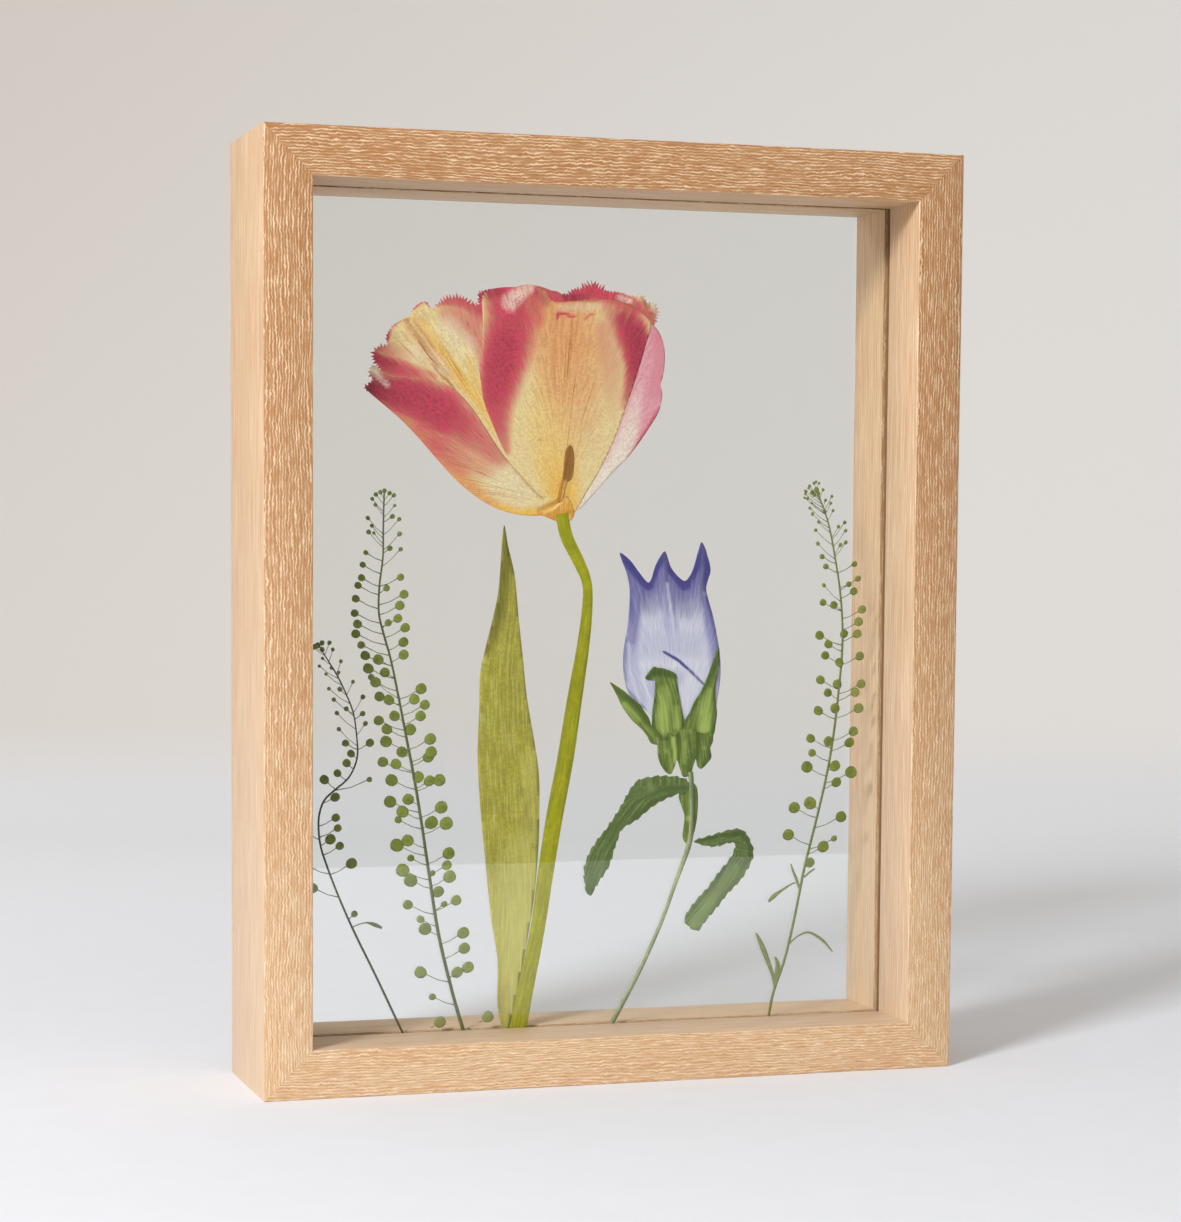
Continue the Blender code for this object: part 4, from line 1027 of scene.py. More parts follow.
BELL_FOOT = (29.0, 108.0)
BELL_STEM = ((34.8, 104.5, 2.2), (35.4, 98, 1.8), (35.5, 88, 1.8), (34.6, 79, 2), (30, 66.4, 1.6),
    (24.6, 52, 1.5), (18.2, 38, 1.6), (12.4, 27, 1.7), (6.6, 17, 2), (4.4, 13.2, 2))
BELL_GREENS = {
    # name: node, depth, middle line, masks
    "sepal_left": ("bell_sepal_left", -0.3, ((5.4, 135), (12.4, 128), (18, 121.6), (22, 116.4)), {
        "dark": (((5, 135.6, 1, 0.7), (10, 131.6, 1.2, 0.8), (15, 128, 2.4, 0.8), (19.6, 122, 1.8, 0.8)),),
        "pale": (((10.4, 128.6, 1.8, 0.5), (15, 123.4, 1.6, 0.4)),),
    }),
    "sepal_middle": ("bell_sepal_middle", -0.36, ((23, 139), (26, 130), (27.6, 117.8)), {
        "dark": (((18.4, 137.8, 1.4, 0.9), (21, 140, 2.2, 0.95), (25, 139.4, 1.8, 0.95),
            (28.6, 138.4, 1.2, 0.9)), ((21.6, 135.6, 1.0, 0.9), (21, 128, 0.8, 0.8),
            (20.6, 120.6, 0.9, 0.8), (24.4, 116.2, 1, 0.8)), ((29.4, 135, 0.8, 0.7), (31.2, 126, 0.8, 0.7),
            (32, 119, 0.9, 0.8)), ((26.6, 126, 0.8, 0.35), (27.2, 118, 1.0, 0.5))),
        "pale": (((25, 133, 3, 0.4), (24.4, 125, 3.4, 0.75), (25, 120, 3, 0.7)), ((29.4, 127, 2, 0.4),
            (29.6, 121, 2, 0.5))),
    }),
    "sepal_right": ("bell_sepal_right", -0.34, ((45, 144), (41, 133), (38.4, 119)), {
        "dark": (((44.8, 147, 1.4, 0.95), (43, 141.4, 1.5, 0.95), (39.4, 134, 1.2, 0.9),
            (35.6, 127.4, 0.9, 0.9), (32.2, 121, 0.9, 0.8)), ((44.4, 138, 0.9, 0.8), (43.6, 131, 0.8, 0.7),
            (44.4, 124, 0.9, 0.7), (43, 118, 1.0, 0.9)), ((38.6, 124, 0.8, 0.35), (37, 118, 0.9, 0.5))),
        "pale": (((41.6, 133, 1.8, 0.5), (40, 126, 3.2, 0.7), (39.6, 120.6, 3.4, 0.8)),),
    }),
    "calyx": ("bell_calyx", -0.42, ((32, 118), (33.6, 105)), {
        "dark": (((30, 117.6, 1.2, 0.9), (30.4, 112, 1.0, 0.8), (30.2, 108.6, 1.0, 0.9)),
            ((37.4, 118, 1.2, 0.9), (37.4, 112, 1.0, 0.9), (37, 108.6, 1.2, 0.9)), ((34, 117, 1.6, 0.6),
            (35.4, 112, 1.4, 0.5), (34, 105, 1.4, 0.6)), ((23, 117, 1.2, 0.9), (26, 116.4, 1.2, 0.8)),
            ((22.8, 111, 0.9, 0.7), (25.4, 105.6, 1.0, 0.7)), ((42.6, 116, 1.4, 0.8), (42, 110, 1.2, 0.7),
            (39.4, 106.6, 1.2, 0.7))),
        "pale": (((28.2, 116.4, 1.0, 1.0), (28.8, 112, 0.9, 1.0), (29, 108, 0.8, 1.0)),
            ((32.4, 114.6, 1.2, 0.4), (32.4, 108, 1.2, 0.4)), ((40, 113, 1.2, 0.4),),
            ((25.6, 112, 1.2, 0.4),)),
    }),
    "leaf_left": ("bell_leaf_left", -0.3, ((33.2, 99.6), (24, 98.6), (15, 95), (8, 86.6), (2, 77),
        (-2.8, 64)), {
        "dark": (((33, 99, 1.2, 0.7), (24, 98.4, 0.8, 0.6), (15, 94.6, 0.8, 0.6), (8, 86.4, 0.8, 0.5),
            (2, 77, 0.7, 0.5)), ((14, 89, 1.2, 0.6), (21, 94, 1.2, 0.6), (28, 97, 1, 0.6)),
            ((-3.4, 70, 1, 0.5), (0, 79, 0.9, 0.5), (5, 85.6, 0.9, 0.5))),
        "pale": (((20, 99, 2, 0.3),),),
    }),
    "leaf_right": ("bell_leaf_right", -0.3, ((37, 79), (50, 81), (54.8, 75), (48, 65), (41, 56),
        (35.5, 50)), {
        "dark": (((37, 79.4, 1, 0.7), (46, 81.6, 1, 0.8), (54, 82.4, 1.2, 0.9), (57.6, 78.6, 1, 0.7),
            (58, 73.6, 1, 0.6)), ((51.4, 79, 1, 0.8), (50.4, 73.6, 1, 0.7), (45, 66.4, 0.8, 0.6))),
        "pale": (((52, 70, 2.4, 0.3), (44, 60, 3, 0.4), (37, 51, 3, 0.5)),),
    }),
    "bract": ("bell_bract", -0.12, ((35, 99), (35, 90), (34.4, 80)), {
        "dark": (((36.6, 98, 1.4, 0.8), (36.8, 90, 1.2, 0.8), (35.4, 82, 1.4, 0.8)), ((32.4, 97, 1, 0.5),)),
        "pale": (((34.4, 88, 1.4, 0.7),),),
    }),
}
BELL_MASKS = {
    "violet": (((9, 180, 7, 0.5), (18, 168, 11, 0.5), (25, 178, 8, 0.5), (32, 168, 12, 0.5),
        (39, 180, 8, 0.55)), ((12, 166, 6, 0.35), (12, 152, 4, 0.3), (10, 140, 3, 0.2)), ((41, 166, 5, 0.4),
        (44, 152, 4, 0.35), (46, 138, 3, 0.25)), ((8.2, 181.4, 3, 0.9), (12.6, 176.6, 3, 1.0),
        (18.6, 170.6, 3.6, 0.95)), ((18.6, 170.6, 3.4, 0.9), (21, 176, 3, 0.95), (24.6, 182, 3, 0.8),
        (27.4, 175.6, 3, 0.95), (32.2, 170.8, 4, 0.95)), ((32.2, 170.8, 3.6, 0.9), (36, 177, 3.4, 0.95),
        (38.4, 185, 3, 0.8), (41, 176, 2.6, 1.0), (40, 169, 2, 0.9)), ((9, 178, 3, 0.55),
        (12, 168, 2.4, 0.6), (12.6, 158, 2.4, 0.5), (12, 150, 2, 0.3)), ((41, 166, 1.6, 0.8),
        (43.6, 154, 1.4, 0.55), (46, 141, 1.2, 0.5), (45.6, 130, 1, 0.4)), ((10.6, 152, 1, 0.5),
        (9.7, 142, 1, 0.5), (11, 134, 1, 0.5), (18, 126.6, 1, 0.4)), ((24.6, 147, 0.7, 0.9),
        (30, 144, 0.8, 0.95), (35, 139.8, 0.7, 0.8), (39.6, 135.4, 0.6, 0.7))),
    "lilac": (((14, 166, 12, 0.3), (25, 164, 12, 0.25), (38, 164, 10, 0.3)), ((14, 150, 7, 0.3),
        (42, 150, 7, 0.3)), ((9, 182, 9, 1.0), (18, 172, 9, 1.0), (25, 181, 9, 1.0), (32, 171, 9, 1.0),
        (40, 182, 9, 1.0)), ((25.6, 172, 5, 0.9), (26.6, 160, 4, 0.7), (27.6, 148, 3, 0.35)),
        ((13, 168, 4, 1.0), (13.4, 156, 4, 0.8), (12, 142, 4, 0.5), (16, 130, 4, 0.4)),
        ((40.4, 166, 4, 1.0), (43, 152, 4, 0.8), (45, 140, 3.6, 0.6), (44, 128, 3, 0.5)),
        ((20, 134, 4, 0.4), (30, 138, 4, 0.3))),
    # Painted shade along the bell's folds, laid in grey.
    "crease": (((24.6, 182, 0.8, 0.9), (25, 176, 0.9, 0.8), (25.6, 171, 0.7, 0.7)), ((15.4, 167, 0.6, 0.5),
        (14.6, 158, 0.6, 0.45), (13, 150, 0.6, 0.3)), ((39, 184, 0.9, 0.8), (38.8, 176, 0.8, 0.8),
        (38.2, 169, 0.8, 0.7), (39.4, 163, 0.7, 0.5)), ((8.2, 181, 0.8, 0.6), (10, 174, 0.6, 0.6))),
    # Painted highlight: pale stripes beside the folds.
    "painted_fold_highlight": (((25.6, 171, 0.7, 0.35), (27.2, 161, 0.7, 0.5), (28.4, 152, 0.7, 0.3)),
        ((11.6, 150, 0.7, 0.4), (12.2, 140, 0.7, 0.4), (16, 129, 0.7, 0.4)), ((16.6, 138, 0.8, 0.35),
        (21, 128, 0.8, 0.35))),
}


BELL_OUTLINES = {
    "sepal_left": ((4.8, 136.4), (7.4, 134.8), (10.4, 132.8), (13, 130.6), (15.9, 128.2), (17.4, 126),
        (19, 123.8), (20.2, 120.4), (21.7, 116.9), (24, 115.6), (23.4, 114.4), (20.2, 115), (18.6, 117.6),
        (16.4, 120.2), (13.4, 122.8), (10.9, 125.8), (9, 128.6), (7.5, 131.6), (5.4, 135.4)),
    "sepal_middle": ((17.7, 137.8), (19.2, 139.9), (20.8, 141.6), (22.4, 141.2), (24.4, 141), (28.7, 139.2),
        (29.2, 136.4), (30, 132.2), (31, 127.4), (31.9, 122.8), (32, 118.4), (30, 116.2), (26, 115.6),
        (22.4, 116.8), (20.5, 119.6), (20.5, 125.4), (21.2, 131), (21.5, 136), (20.9, 137.6),
        (19.4, 137.3)),
    "sepal_right": ((45, 148.2), (44.9, 144), (44.6, 139.8), (43.7, 135), (43.8, 130), (44.4, 125.6),
        (44, 121.4), (42.9, 117.2), (38.6, 116.8), (34.4, 117), (31.7, 118.4), (32.2, 122), (34.4, 125.4),
        (36.1, 129.2), (38.4, 132.6), (40.3, 136.4), (42, 140.6), (43.6, 145.2)),
    "calyx": ((22.8, 116.6), (25.4, 118.2), (28.4, 118), (31, 119.2), (34, 119.7), (37, 118.6), (40, 118),
        (42.7, 118.4), (43, 115.4), (42, 112.8), (42.5, 109.8), (41, 107.6), (38.8, 105.7), (37.5, 106.7),
        (36.8, 109.4), (35.8, 107), (34.6, 103.6), (32.2, 103), (31, 105.8), (29.8, 109), (28.8, 106.8),
        (27.6, 104.2), (26.2, 104.3), (24.2, 106.6), (22.9, 109.6), (22.5, 113.4)),
}


def bell_relief():
    """Folds down the middle and the sides of the flattened bell."""
    folds = (((24.6, 182), (25.6, 171), (27.4, 160), (29.6, 147)),
             ((10.5, 176), (15, 167), (14.5, 158), (12.6, 148)),
             ((38.6, 184), (38.6, 171), (40.4, 162), (43.6, 148)))
    waves = ripple(31, 0.05, 6)

    def relief(x, z):
        depth = waves(x, z)
        for fold in folds:
            stroke = [(px, pz, 2.0, 1.0) for px, pz in fold]
            depth -= 0.12 * stroke_weight(stroke, x, z)
        return depth
    return relief


class FLOATFRAME_OT_bellflower(bpy.types.Operator):
    """Model the pressed bellflower: bell, sepals, calyx, leaves and stem"""
    bl_idname = "floatframe.bellflower"
    bl_label = "Bellflower"

    def execute(self, context):
        bell = context.scene.floatframe_bell
        piece = sheet("bell", smoothed(node_outline("bell_corolla"), 0.8, closed=True), 0.2,
                      bell_relief(), fan_flow(*BELL_FOOT), bell_material(bell), "petal_blue",
                      ["bell_corolla"], 0.12 * MM, 0.6)
        paint(piece, BELL_MASKS)
        sepal = leaf_material("bell_sepal", bell.sepal, colour("3A4D18"), colour("AEC262"), 0.8 * MM)
        leaf = leaf_material("bell_leaf", bell.leaf, colour("37491E"), colour("9BAE6C"), 0.9 * MM)
        rng = random.Random(5)
        for seed, (name, (node, depth, middle, strokes)) in enumerate(BELL_GREENS.items(), 41):
            outline = BELL_OUTLINES.get(name) or node_outline(node)
            outline = grown(smoothed(outline, 0.6, closed=True), 0.15 if name in BELL_OUTLINES else 0.4)
            if name.startswith("leaf"):
                outline = toothed(outline, 3.6, 0.7, rng)
            material = leaf if name.startswith("leaf") else sepal
            green = sheet(name, outline, depth, ripple(seed, 0.1, 4), spine_flow(middle), material,
                          "leaf_green", [node], 0.13 * MM, 0.7)
            paint(green, strokes)
        stem = leaf_material("bell_stem", bell.stem, colour("556540"), colour("D2D8A6"), 0.5 * MM)
        make_stem("bell_stalk", "bell_stem", BELL_STEM, -0.3, 0.3, stem, "leaf_green", {
            "dark": (((35.6, 104, 1.4, 0.9), (36.2, 90, 1.2, 0.9), (35.6, 79, 1.0, 0.8), (31, 66, 0.7, 0.7),
                      (25.4, 51.6, 0.7, 0.7), (19, 37.6, 0.7, 0.7), (7.2, 17, 0.8, 0.7)),)})
        return {"FINISHED"}


# Sprigs: a stalk of (x, z, width) points, pods of (x, z, radius), buds of (x, z, radius), and
# small leaves whose (x, z, width) points start on the stalk.

SPRIGS = {
    "sprig_left": {
        "depth": 0.22,
        "green": 0.05,
        "stalk": ((-99.4, 150.4, 0.5), (-97, 146.4, 0.5), (-93, 140, 0.6), (-90, 134, 0.6),
            (-87.2, 127, 0.6), (-86, 119, 0.6), (-85.8, 111.6, 0.7), (-88.6, 105, 0.7), (-93.4, 100.8, 0.8),
            (-97.4, 97, 0.8), (-99.2, 91, 0.8), (-98.8, 83, 0.8), (-96.8, 76, 0.8), (-92.2, 64, 0.8),
            (-86.6, 51.4, 0.9), (-79, 36, 0.9), (-70.2, 17.4, 1), (-67.8, 12.8, 1)),
        "pods": ((-83.9, 126.6, 1), (-89.9, 116.6, 1.3), (-81.3, 116.6, 1.5), (-88, 113, 1.4),
            (-89.5, 109.8, 1.5), (-92.7, 106.4, 1.4), (-97.3, 104.3, 1.7), (-81.5, 104, 1),
            (-93.4, 98.2, 1.7), (-93.2, 91.2, 1.5), (-92.5, 87.6, 1.4), (-95.1, 83.9, 1.9),
            (-91.8, 81.5, 1.5), (-87.7, 75.4, 2), (-101.4, 67.3, 1.9), (-86.7, 58, 1.2), (-103, 86, 1.8),
            (-103.5, 75, 1.8)),
        "buds": ((-100.4, 149.6, 0.9), (-98, 150.8, 0.9), (-99.5, 150, 1), (-95.5, 150.8, 0.8),
            (-101, 149.3, 0.9), (-94.3, 148.5, 0.7), (-98, 148.5, 0.9), (-97.9, 145.5, 0.6),
            (-91.5, 144.5, 0.7), (-99, 142.9, 0.6), (-94.8, 142.3, 0.7), (-96.7, 140.2, 0.6),
            (-92.3, 140.7, 0.7), (-87.3, 137.5, 0.7), (-95.7, 135.2, 0.7), (-91.9, 135, 0.9),
            (-94, 131.5, 0.8), (-83.8, 132.3, 0.9), (-89.6, 128.3, 0.9), (-92.9, 126.9, 0.8),
            (-82.9, 123.2, 0.9), (-92.2, 121.4, 0.8)),
        "leaves": (((-87.6, 53.2, 0.4), (-86, 54, 0.4), (-82.6, 54.8, 0.5), (-79.6, 54, 1.4),
            (-77, 52.8, 0.8)),),
    },
    "sprig_middle": {
        "depth": -0.22,
        "green": 0.3,
        "stalk": ((-76.6, 202, 0.6), (-76.9, 190, 0.7), (-77, 180, 0.7), (-78.2, 170, 0.8),
            (-78.4, 161, 0.8), (-76.8, 154, 0.9), (-74.2, 145, 0.9), (-71.4, 132, 1), (-68.8, 119, 1.1),
            (-66, 105, 1.2), (-63.4, 90, 1.2), (-60.6, 72, 1.3), (-57, 50, 1.4), (-52, 29.6, 1.4),
            (-48.4, 17.4, 1.6), (-47, 12.8, 1.6)),
        "pods": ((-73.7, 193.6, 0.9), (-74.6, 182.8, 1.0), (-83, 181.3, 0.9), (-84.1, 177.2, 1.1),
            (-84.5, 172.8, 1.3), (-70.8, 173, 1.3), (-85.7, 170.2, 1.3), (-75.7, 169.3, 1.2),
            (-69.5, 167.2, 1.6), (-86.5, 165.7, 1.4), (-71, 163.4, 1.7), (-86.9, 160.8, 1.4),
            (-71.7, 159, 1.6), (-75.1, 157.5, 1.3), (-85.9, 157.1, 1.6), (-69.1, 155.8, 1.7),
            (-86.5, 153.8, 1.6), (-69.7, 150.9, 1.8), (-84.6, 150, 1.4), (-69.6, 146.6, 1.8),
            (-83.2, 146.4, 1.7), (-78.6, 145, 1.9), (-82.1, 142, 1.9), (-76.3, 140.6, 1.8),
            (-79.6, 137.3, 1.9), (-63.4, 134.9, 2), (-78.2, 132.4, 1.8), (-74.9, 131.2, 1.9),
            (-65.8, 131.3, 1.9), (-62.1, 129.4, 1.8), (-63.6, 125.6, 1.9), (-72.9, 125.7, 1.9),
            (-78.4, 124.2, 1.8), (-67.2, 121, 2.1), (-75.6, 121.2, 1.9), (-60.1, 117.6, 2.1),
            (-75.9, 117, 2.1), (-59.8, 113.1, 2.1), (-70.2, 113.3, 2), (-77, 110, 1.9), (-72.3, 109.2, 1.9),
            (-64.4, 104.6, 2.1), (-60.4, 103.2, 2), (-56.8, 103.4, 2.2), (-73.9, 103.7, 2.2),
            (-74.4, 96.3, 2.2), (-68, 97, 2.1), (-70, 92.8, 2.2), (-56.1, 94, 2.3), (-59.6, 88.8, 2.4),
            (-54.3, 88.4, 2.4), (-72, 81.3, 2.4), (-68.2, 82.8, 2.2), (-53.4, 78, 2.2), (-67, 76.7, 1.3),
            (-54.1, 73.9, 1.8), (-69.9, 72.6, 2.4), (-59.2, 71.3, 1.1), (-53, 69.9, 2.3), (-67.1, 69, 2.4),
            (-57.1, 64.8, 2.1), (-50.7, 61.6, 1.9), (-68, 60.6, 1.8), (-55, 60.4, 1.2), (-63.5, 55.4, 1.4),
            (-61.9, 52, 2.3), (-48.1, 50.2, 2.2), (-47.7, 44.8, 2.1), (-63.5, 37, 2.2), (-50.3, 36.5, 2.1),
            (-46.4, 38.1, 2.2), (-59.2, 28.3, 1.3), (-60.8, 111.4, 2), (-71.5, 90, 1.3)),
        "buds": ((-79.5, 201, 0.8), (-78, 201.8, 0.8), (-76.5, 202.3, 0.8), (-74.7, 201.5, 0.8),
            (-73.2, 200.8, 0.8), (-80.8, 199.5, 0.7), (-79.7, 197.5, 0.7), (-72.9, 197.3, 0.6),
            (-71.3, 192.7, 0.8), (-82.3, 193, 0.8), (-80.9, 190.4, 0.7), (-82, 188.3, 0.9),
            (-80.2, 188, 0.6), (-71.2, 187.7, 0.9), (-70.8, 182.5, 0.8), (-81, 139, 1.2)),
        "leaves": (),
    },
    "sprig_right": {
        "depth": -0.22,
        "green": 0.75,
        "stalk": ((81.2, 204.4, 0.8), (83.2, 200, 0.7), (85.6, 194, 0.7), (87.4, 187.4, 0.8),
            (89.2, 178.6, 0.8), (90.8, 169.6, 0.9), (92, 158, 0.9), (92.1, 147, 1), (91, 133, 1),
            (89.4, 118.4, 1.1), (87, 103.6, 1.1), (83.4, 88, 1.1), (78.6, 69, 1.2), (75.2, 52, 1.2),
            (71.6, 37, 1.2), (67.4, 25, 1.2), (65.8, 17.4, 1.2), (65.2, 12.8, 1.2)),
        "pods": ((83.9, 180.5, 1), (85.4, 177, 1.1), (96.5, 177.9, 1.1), (97.9, 172.7, 1.2),
            (94.4, 170.7, 1.1), (96.3, 168.2, 1.5), (84.5, 164.2, 1.3), (88.6, 163.3, 1.5),
            (99.6, 161.7, 1.6), (98.4, 157.3, 1.7), (92.8, 153, 1.6), (83.3, 152.5, 1.7), (97.9, 153, 1.7),
            (86.7, 149.3, 1.6), (85.6, 145.3, 1.6), (99, 145, 1.7), (91, 142.8, 1.7), (83.8, 136.6, 1.7),
            (90.4, 135, 1.8), (99.7, 135, 1.7), (86.8, 132, 1.6), (97.4, 132, 1.7), (89.6, 126.4, 1.9),
            (98.8, 126.3, 1.9), (83.1, 125.6, 1.8), (97, 118, 1.8), (80.3, 115.7, 1.7), (87.2, 114.6, 1.9),
            (95.5, 114, 1.9), (81, 110.5, 1.5), (79.1, 105.5, 2.2), (90, 105.7, 2.1), (96.3, 103.3, 2.3),
            (90.6, 99.8, 1.9), (80.4, 92.5, 2.4), (74.4, 91, 2.2), (92.6, 87.3, 2.1), (72.2, 81.3, 2.2),
            (85.9, 76.7, 2.2), (80.8, 71.1, 1.9), (90, 79.5, 1.2)),
        "buds": ((77.3, 203.6, 0.7), (77.2, 202.6, 0.5), (78.1, 201.1, 0.6), (76.9, 201.3, 0.5),
            (78.7, 205.5, 0.6), (78.4, 204.7, 0.5), (81.2, 207, 0.5), (80.4, 206.5, 0.6),
            (82.4, 206.5, 0.5), (83.9, 204.2, 0.6), (87.3, 201.9, 0.6), (84.9, 200.5, 0.6),
            (87, 199.5, 0.6), (79.6, 199.5, 0.4), (79, 197.7, 0.6), (80, 195.6, 0.7), (84.7, 196.6, 0.7),
            (87.9, 196.9, 0.6), (82.4, 192.8, 0.7), (92.4, 192.7, 0.7), (81.3, 189.9, 0.7),
            (90.1, 191.2, 0.7), (92.8, 189.8, 0.7), (82.2, 185.1, 0.8), (90.9, 184.7, 0.8),
            (92.9, 185.6, 0.8), (84.7, 170.3, 0.8), (79.8, 203.2, 0.9), (81.4, 204.2, 1),
            (82.2, 202.8, 0.8), (80.6, 202.4, 0.8)),
        "leaves": (((77.2, 62.6, 0.6), (75.2, 64, 0.5), (70.4, 61.6, 0.9), (66.6, 59, 1.6),
            (65, 57.4, 0.7)), ((76.8, 61.6, 0.6), (75.8, 64.8, 1), (74.4, 68, 0.9), (73.4, 70.8, 0.5)),
            ((78.6, 65.8, 0.6), (80.4, 67.4, 0.8), (82.7, 68.8, 0.5)), ((73, 41.8, 0.5), (76.4, 44.6, 0.6),
            (80.8, 45.8, 0.8), (86, 42.9, 1), (90, 38.5, 0.4)), ((67.7, 26, 0.6), (67.2, 30, 1.2),
            (65.6, 34.6, 1.6), (63, 41, 1.9), (60.4, 46.4, 0.8)), ((67.6, 26, 0.8), (68.5, 31, 1.9),
            (68.9, 34.6, 1.8), (67.7, 37.6, 0.6))),
    },
}
LOOSE_PODS = {"loose_pod_left": (-56.3, 19.4, 2.1), "loose_pod_right": (-39.1, 20.5, 2.1)}
POD_MASKS = ("tone", "rim", "stalk", "pale")
POD_THICKNESS, THICKEST_SHARE = 0.16, 0.22
STALK_SHARE = 0.85
PODS_SLOPE, BUDS_SLOPE = 0.3, 0.8


def stalk_at(spine, z):
    """Where the stalk's middle line is at a height."""
    for (x_high, z_high, _), (x_low, z_low, _) in zip(spine, spine[1:]):
        if z_low <= z <= z_high:
            return x_low + (x_high - x_low) * (z - z_low) / (z_high - z_low)
    return spine[0][0] if z > spine[0][1] else spine[-1][0]


def masked_mesh():
    bm = bmesh.new()
    for name in POD_MASKS:
        bm.verts.layers.float.new(name)
    return bm


def mark(bm, verts, **values):
    for name in POD_MASKS:
        layer = bm.verts.layers.float[name]
        for vert in verts:
            vert[layer] = values.get(name, 0.0)


def add_pod(bm, x, z, radius, depth, toward, rng):
    """A flat round pod with a swollen middle, a thin rim and a notch away from its stalk."""
    pod = bmesh.ops.create_uvsphere(bm, u_segments=10, v_segments=6, radius=radius * MM)["verts"]
    bmesh.ops.rotate(bm, cent=(0, 0, 0), matrix=Matrix.Rotation(math.pi / 2, 3, "X"), verts=pod)
    bmesh.ops.scale(bm, vec=(1.08, min(POD_THICKNESS / radius, THICKEST_SHARE), 0.96), verts=pod)
    for vert in pod:
        if vert.co.x < -0.8 * radius * MM:
            vert.co.x *= 0.9
    turn = Matrix.Rotation(rng.uniform(-0.2, 0.2), 3, "X") @ Matrix.Rotation(-toward, 3, "Y")
    bmesh.ops.rotate(bm, cent=(0, 0, 0), matrix=turn, verts=pod)
    # Painted light: pods low on the sprig are made paler, standing in for the bright floor shining through
    # them.
    tone, pale = rng.uniform(0, 0.7), 0.45 * max(0.0, 1 - z / 75)
    mark(bm, pod, tone=tone, pale=pale)
    rim_layer = bm.verts.layers.float["rim"]
    for vert in pod:
        away = vert.co.length / (radius * MM)
        vert[rim_layer] = 0.75 if away > 0.93 else 0.25 if away < 0.3 else 0.0
    bmesh.ops.translate(bm, vec=Vector((x, depth, z)) * MM, verts=pod)


def add_stalk(bm, spine, depth, flatness, sides, **masks):
    faces = grow_stalk(bm, spine, depth, flatness, sides)
    mark(bm, {v for f in faces for v in f.verts}, **masks)


def make_sprig(name, parts, material):
    rng = random.Random(name)
    bm = masked_mesh()
    spine, depth = parts["stalk"], parts["depth"]
    spine = [(x, z, width * STALK_SHARE) for x, z, width in spine]
    add_stalk(bm, smoothed(spine, 1.5), depth, 0.45, 8, stalk=1.0, tone=parts["green"])
    for group, thread, slope in (("pods", 0.34, PODS_SLOPE), ("buds", 0.26, BUDS_SLOPE)):
        for x, z, radius in parts[group]:
            root_z = max(z - 1 - slope * abs(x - stalk_at(spine, z)), spine[-1][1] + 1)
            root = (stalk_at(spine, root_z), root_z)
            toward = math.atan2(root[1] - z, root[0] - x)
            meet = (x + math.cos(toward) * radius * 0.9, z + math.sin(toward) * radius * 0.9)
            sag = 0.06 * math.dist(root, meet)
            middle = ((root[0] + meet[0]) / 2, (root[1] + meet[1]) / 2 - sag)
            shift = depth + rng.uniform(-0.12, 0.12)
            add_stalk(bm, [(*root, thread * 1.2), (*middle, thread * 0.8), (*meet, thread)], depth, 0.8, 5,
                      stalk=1.0, tone=0.75, pale=0.1)
            add_pod(bm, x, z, radius, shift, toward, rng)
    for leaf in parts["leaves"]:
        add_stalk(bm, smoothed(leaf, 0.8), depth, 0.14, 8, stalk=0.25, tone=0.3, pale=0.25)
    finish_piece(name + "_pressed", bm, [material], "pod_green", name, smooth=True)


class FLOATFRAME_OT_sprigs(bpy.types.Operator):
    """Model the three sprigs of seed pods and the two loose pods"""
    bl_idname = "floatframe.sprigs"
    bl_label = "Sprigs"

    def execute(self, context):
        material = pod_material(context.scene.floatframe_sprigs)
        for name, parts in SPRIGS.items():
            make_sprig(name, parts, material)
        for name, (x, z, radius) in LOOSE_PODS.items():
            bm = masked_mesh()
            add_stalk(bm, [(x - 2.2, z - 1.4, 0.3), (x - 3.4, z - 2, 0.2)], -0.22, 0.8, 5, stalk=1.0)
            add_pod(bm, x, z, radius, -0.22, math.pi + 0.5, random.Random(name))
            finish_piece(name + "_pressed", bm, [material], "pod_green", name, smooth=True)
        return {"FINISHED"}


# Stage

CAMERA_PLACE = (-0.31479, -0.95271, 0.18713)
CAMERA_TURN, CAMERA_TILT, CAMERA_ROLL = -16.883, 4.326, 0.319
KEY_TRAVEL, KEY_SIZE, KEY_DISTANCE = Vector((0.685, 0.58, -0.44)), 0.45, 2
FRAME_MIDDLE = Vector((0, 0, 0.16))
DIM_SIDE = (0.309, -0.951, -0.03)
SKY_COLOUR, DIM_COLOUR = (1.0, 0.957, 0.9), (0.26, 0.25, 0.24)
HALF_GREY = (0.5, 0.5, 0.5)


def add_camera():
    data = bpy.data.cameras.new("camera")
    data.lens, data.sensor_width = 84.78, 36
    data.shift_x, data.shift_y = 0.0529, 0.1170
    turn, tilt, roll = (math.radians(a) for a in (CAMERA_TURN, CAMERA_TILT, CAMERA_ROLL))
    back = Vector((math.sin(turn) * math.cos(tilt), -math.cos(turn) * math.cos(tilt), math.sin(tilt)))
    right = Vector((math.cos(turn), math.sin(turn), 0))
    up = back.cross(right)
    right, up = (math.cos(roll) * right + math.sin(roll) * up,
                 math.cos(roll) * up - math.sin(roll) * right)
    camera = bpy.data.objects.new("camera", data)
    camera.matrix_world = Matrix.Translation(CAMERA_PLACE) @ Matrix((right, up, back)).transposed().to_4x4()
    bpy.context.scene.collection.objects.link(camera)
    bpy.context.scene.camera = camera


def raise_edge(bm, sweep, travel):
    last = [e for e in sweep["geom_last"] if isinstance(e, bmesh.types.BMEdge)]
    drawn = bmesh.ops.extrude_edge_only(bm, edges=last)["geom"]
    bmesh.ops.translate(bm, verts=added_verts(drawn), vec=travel)


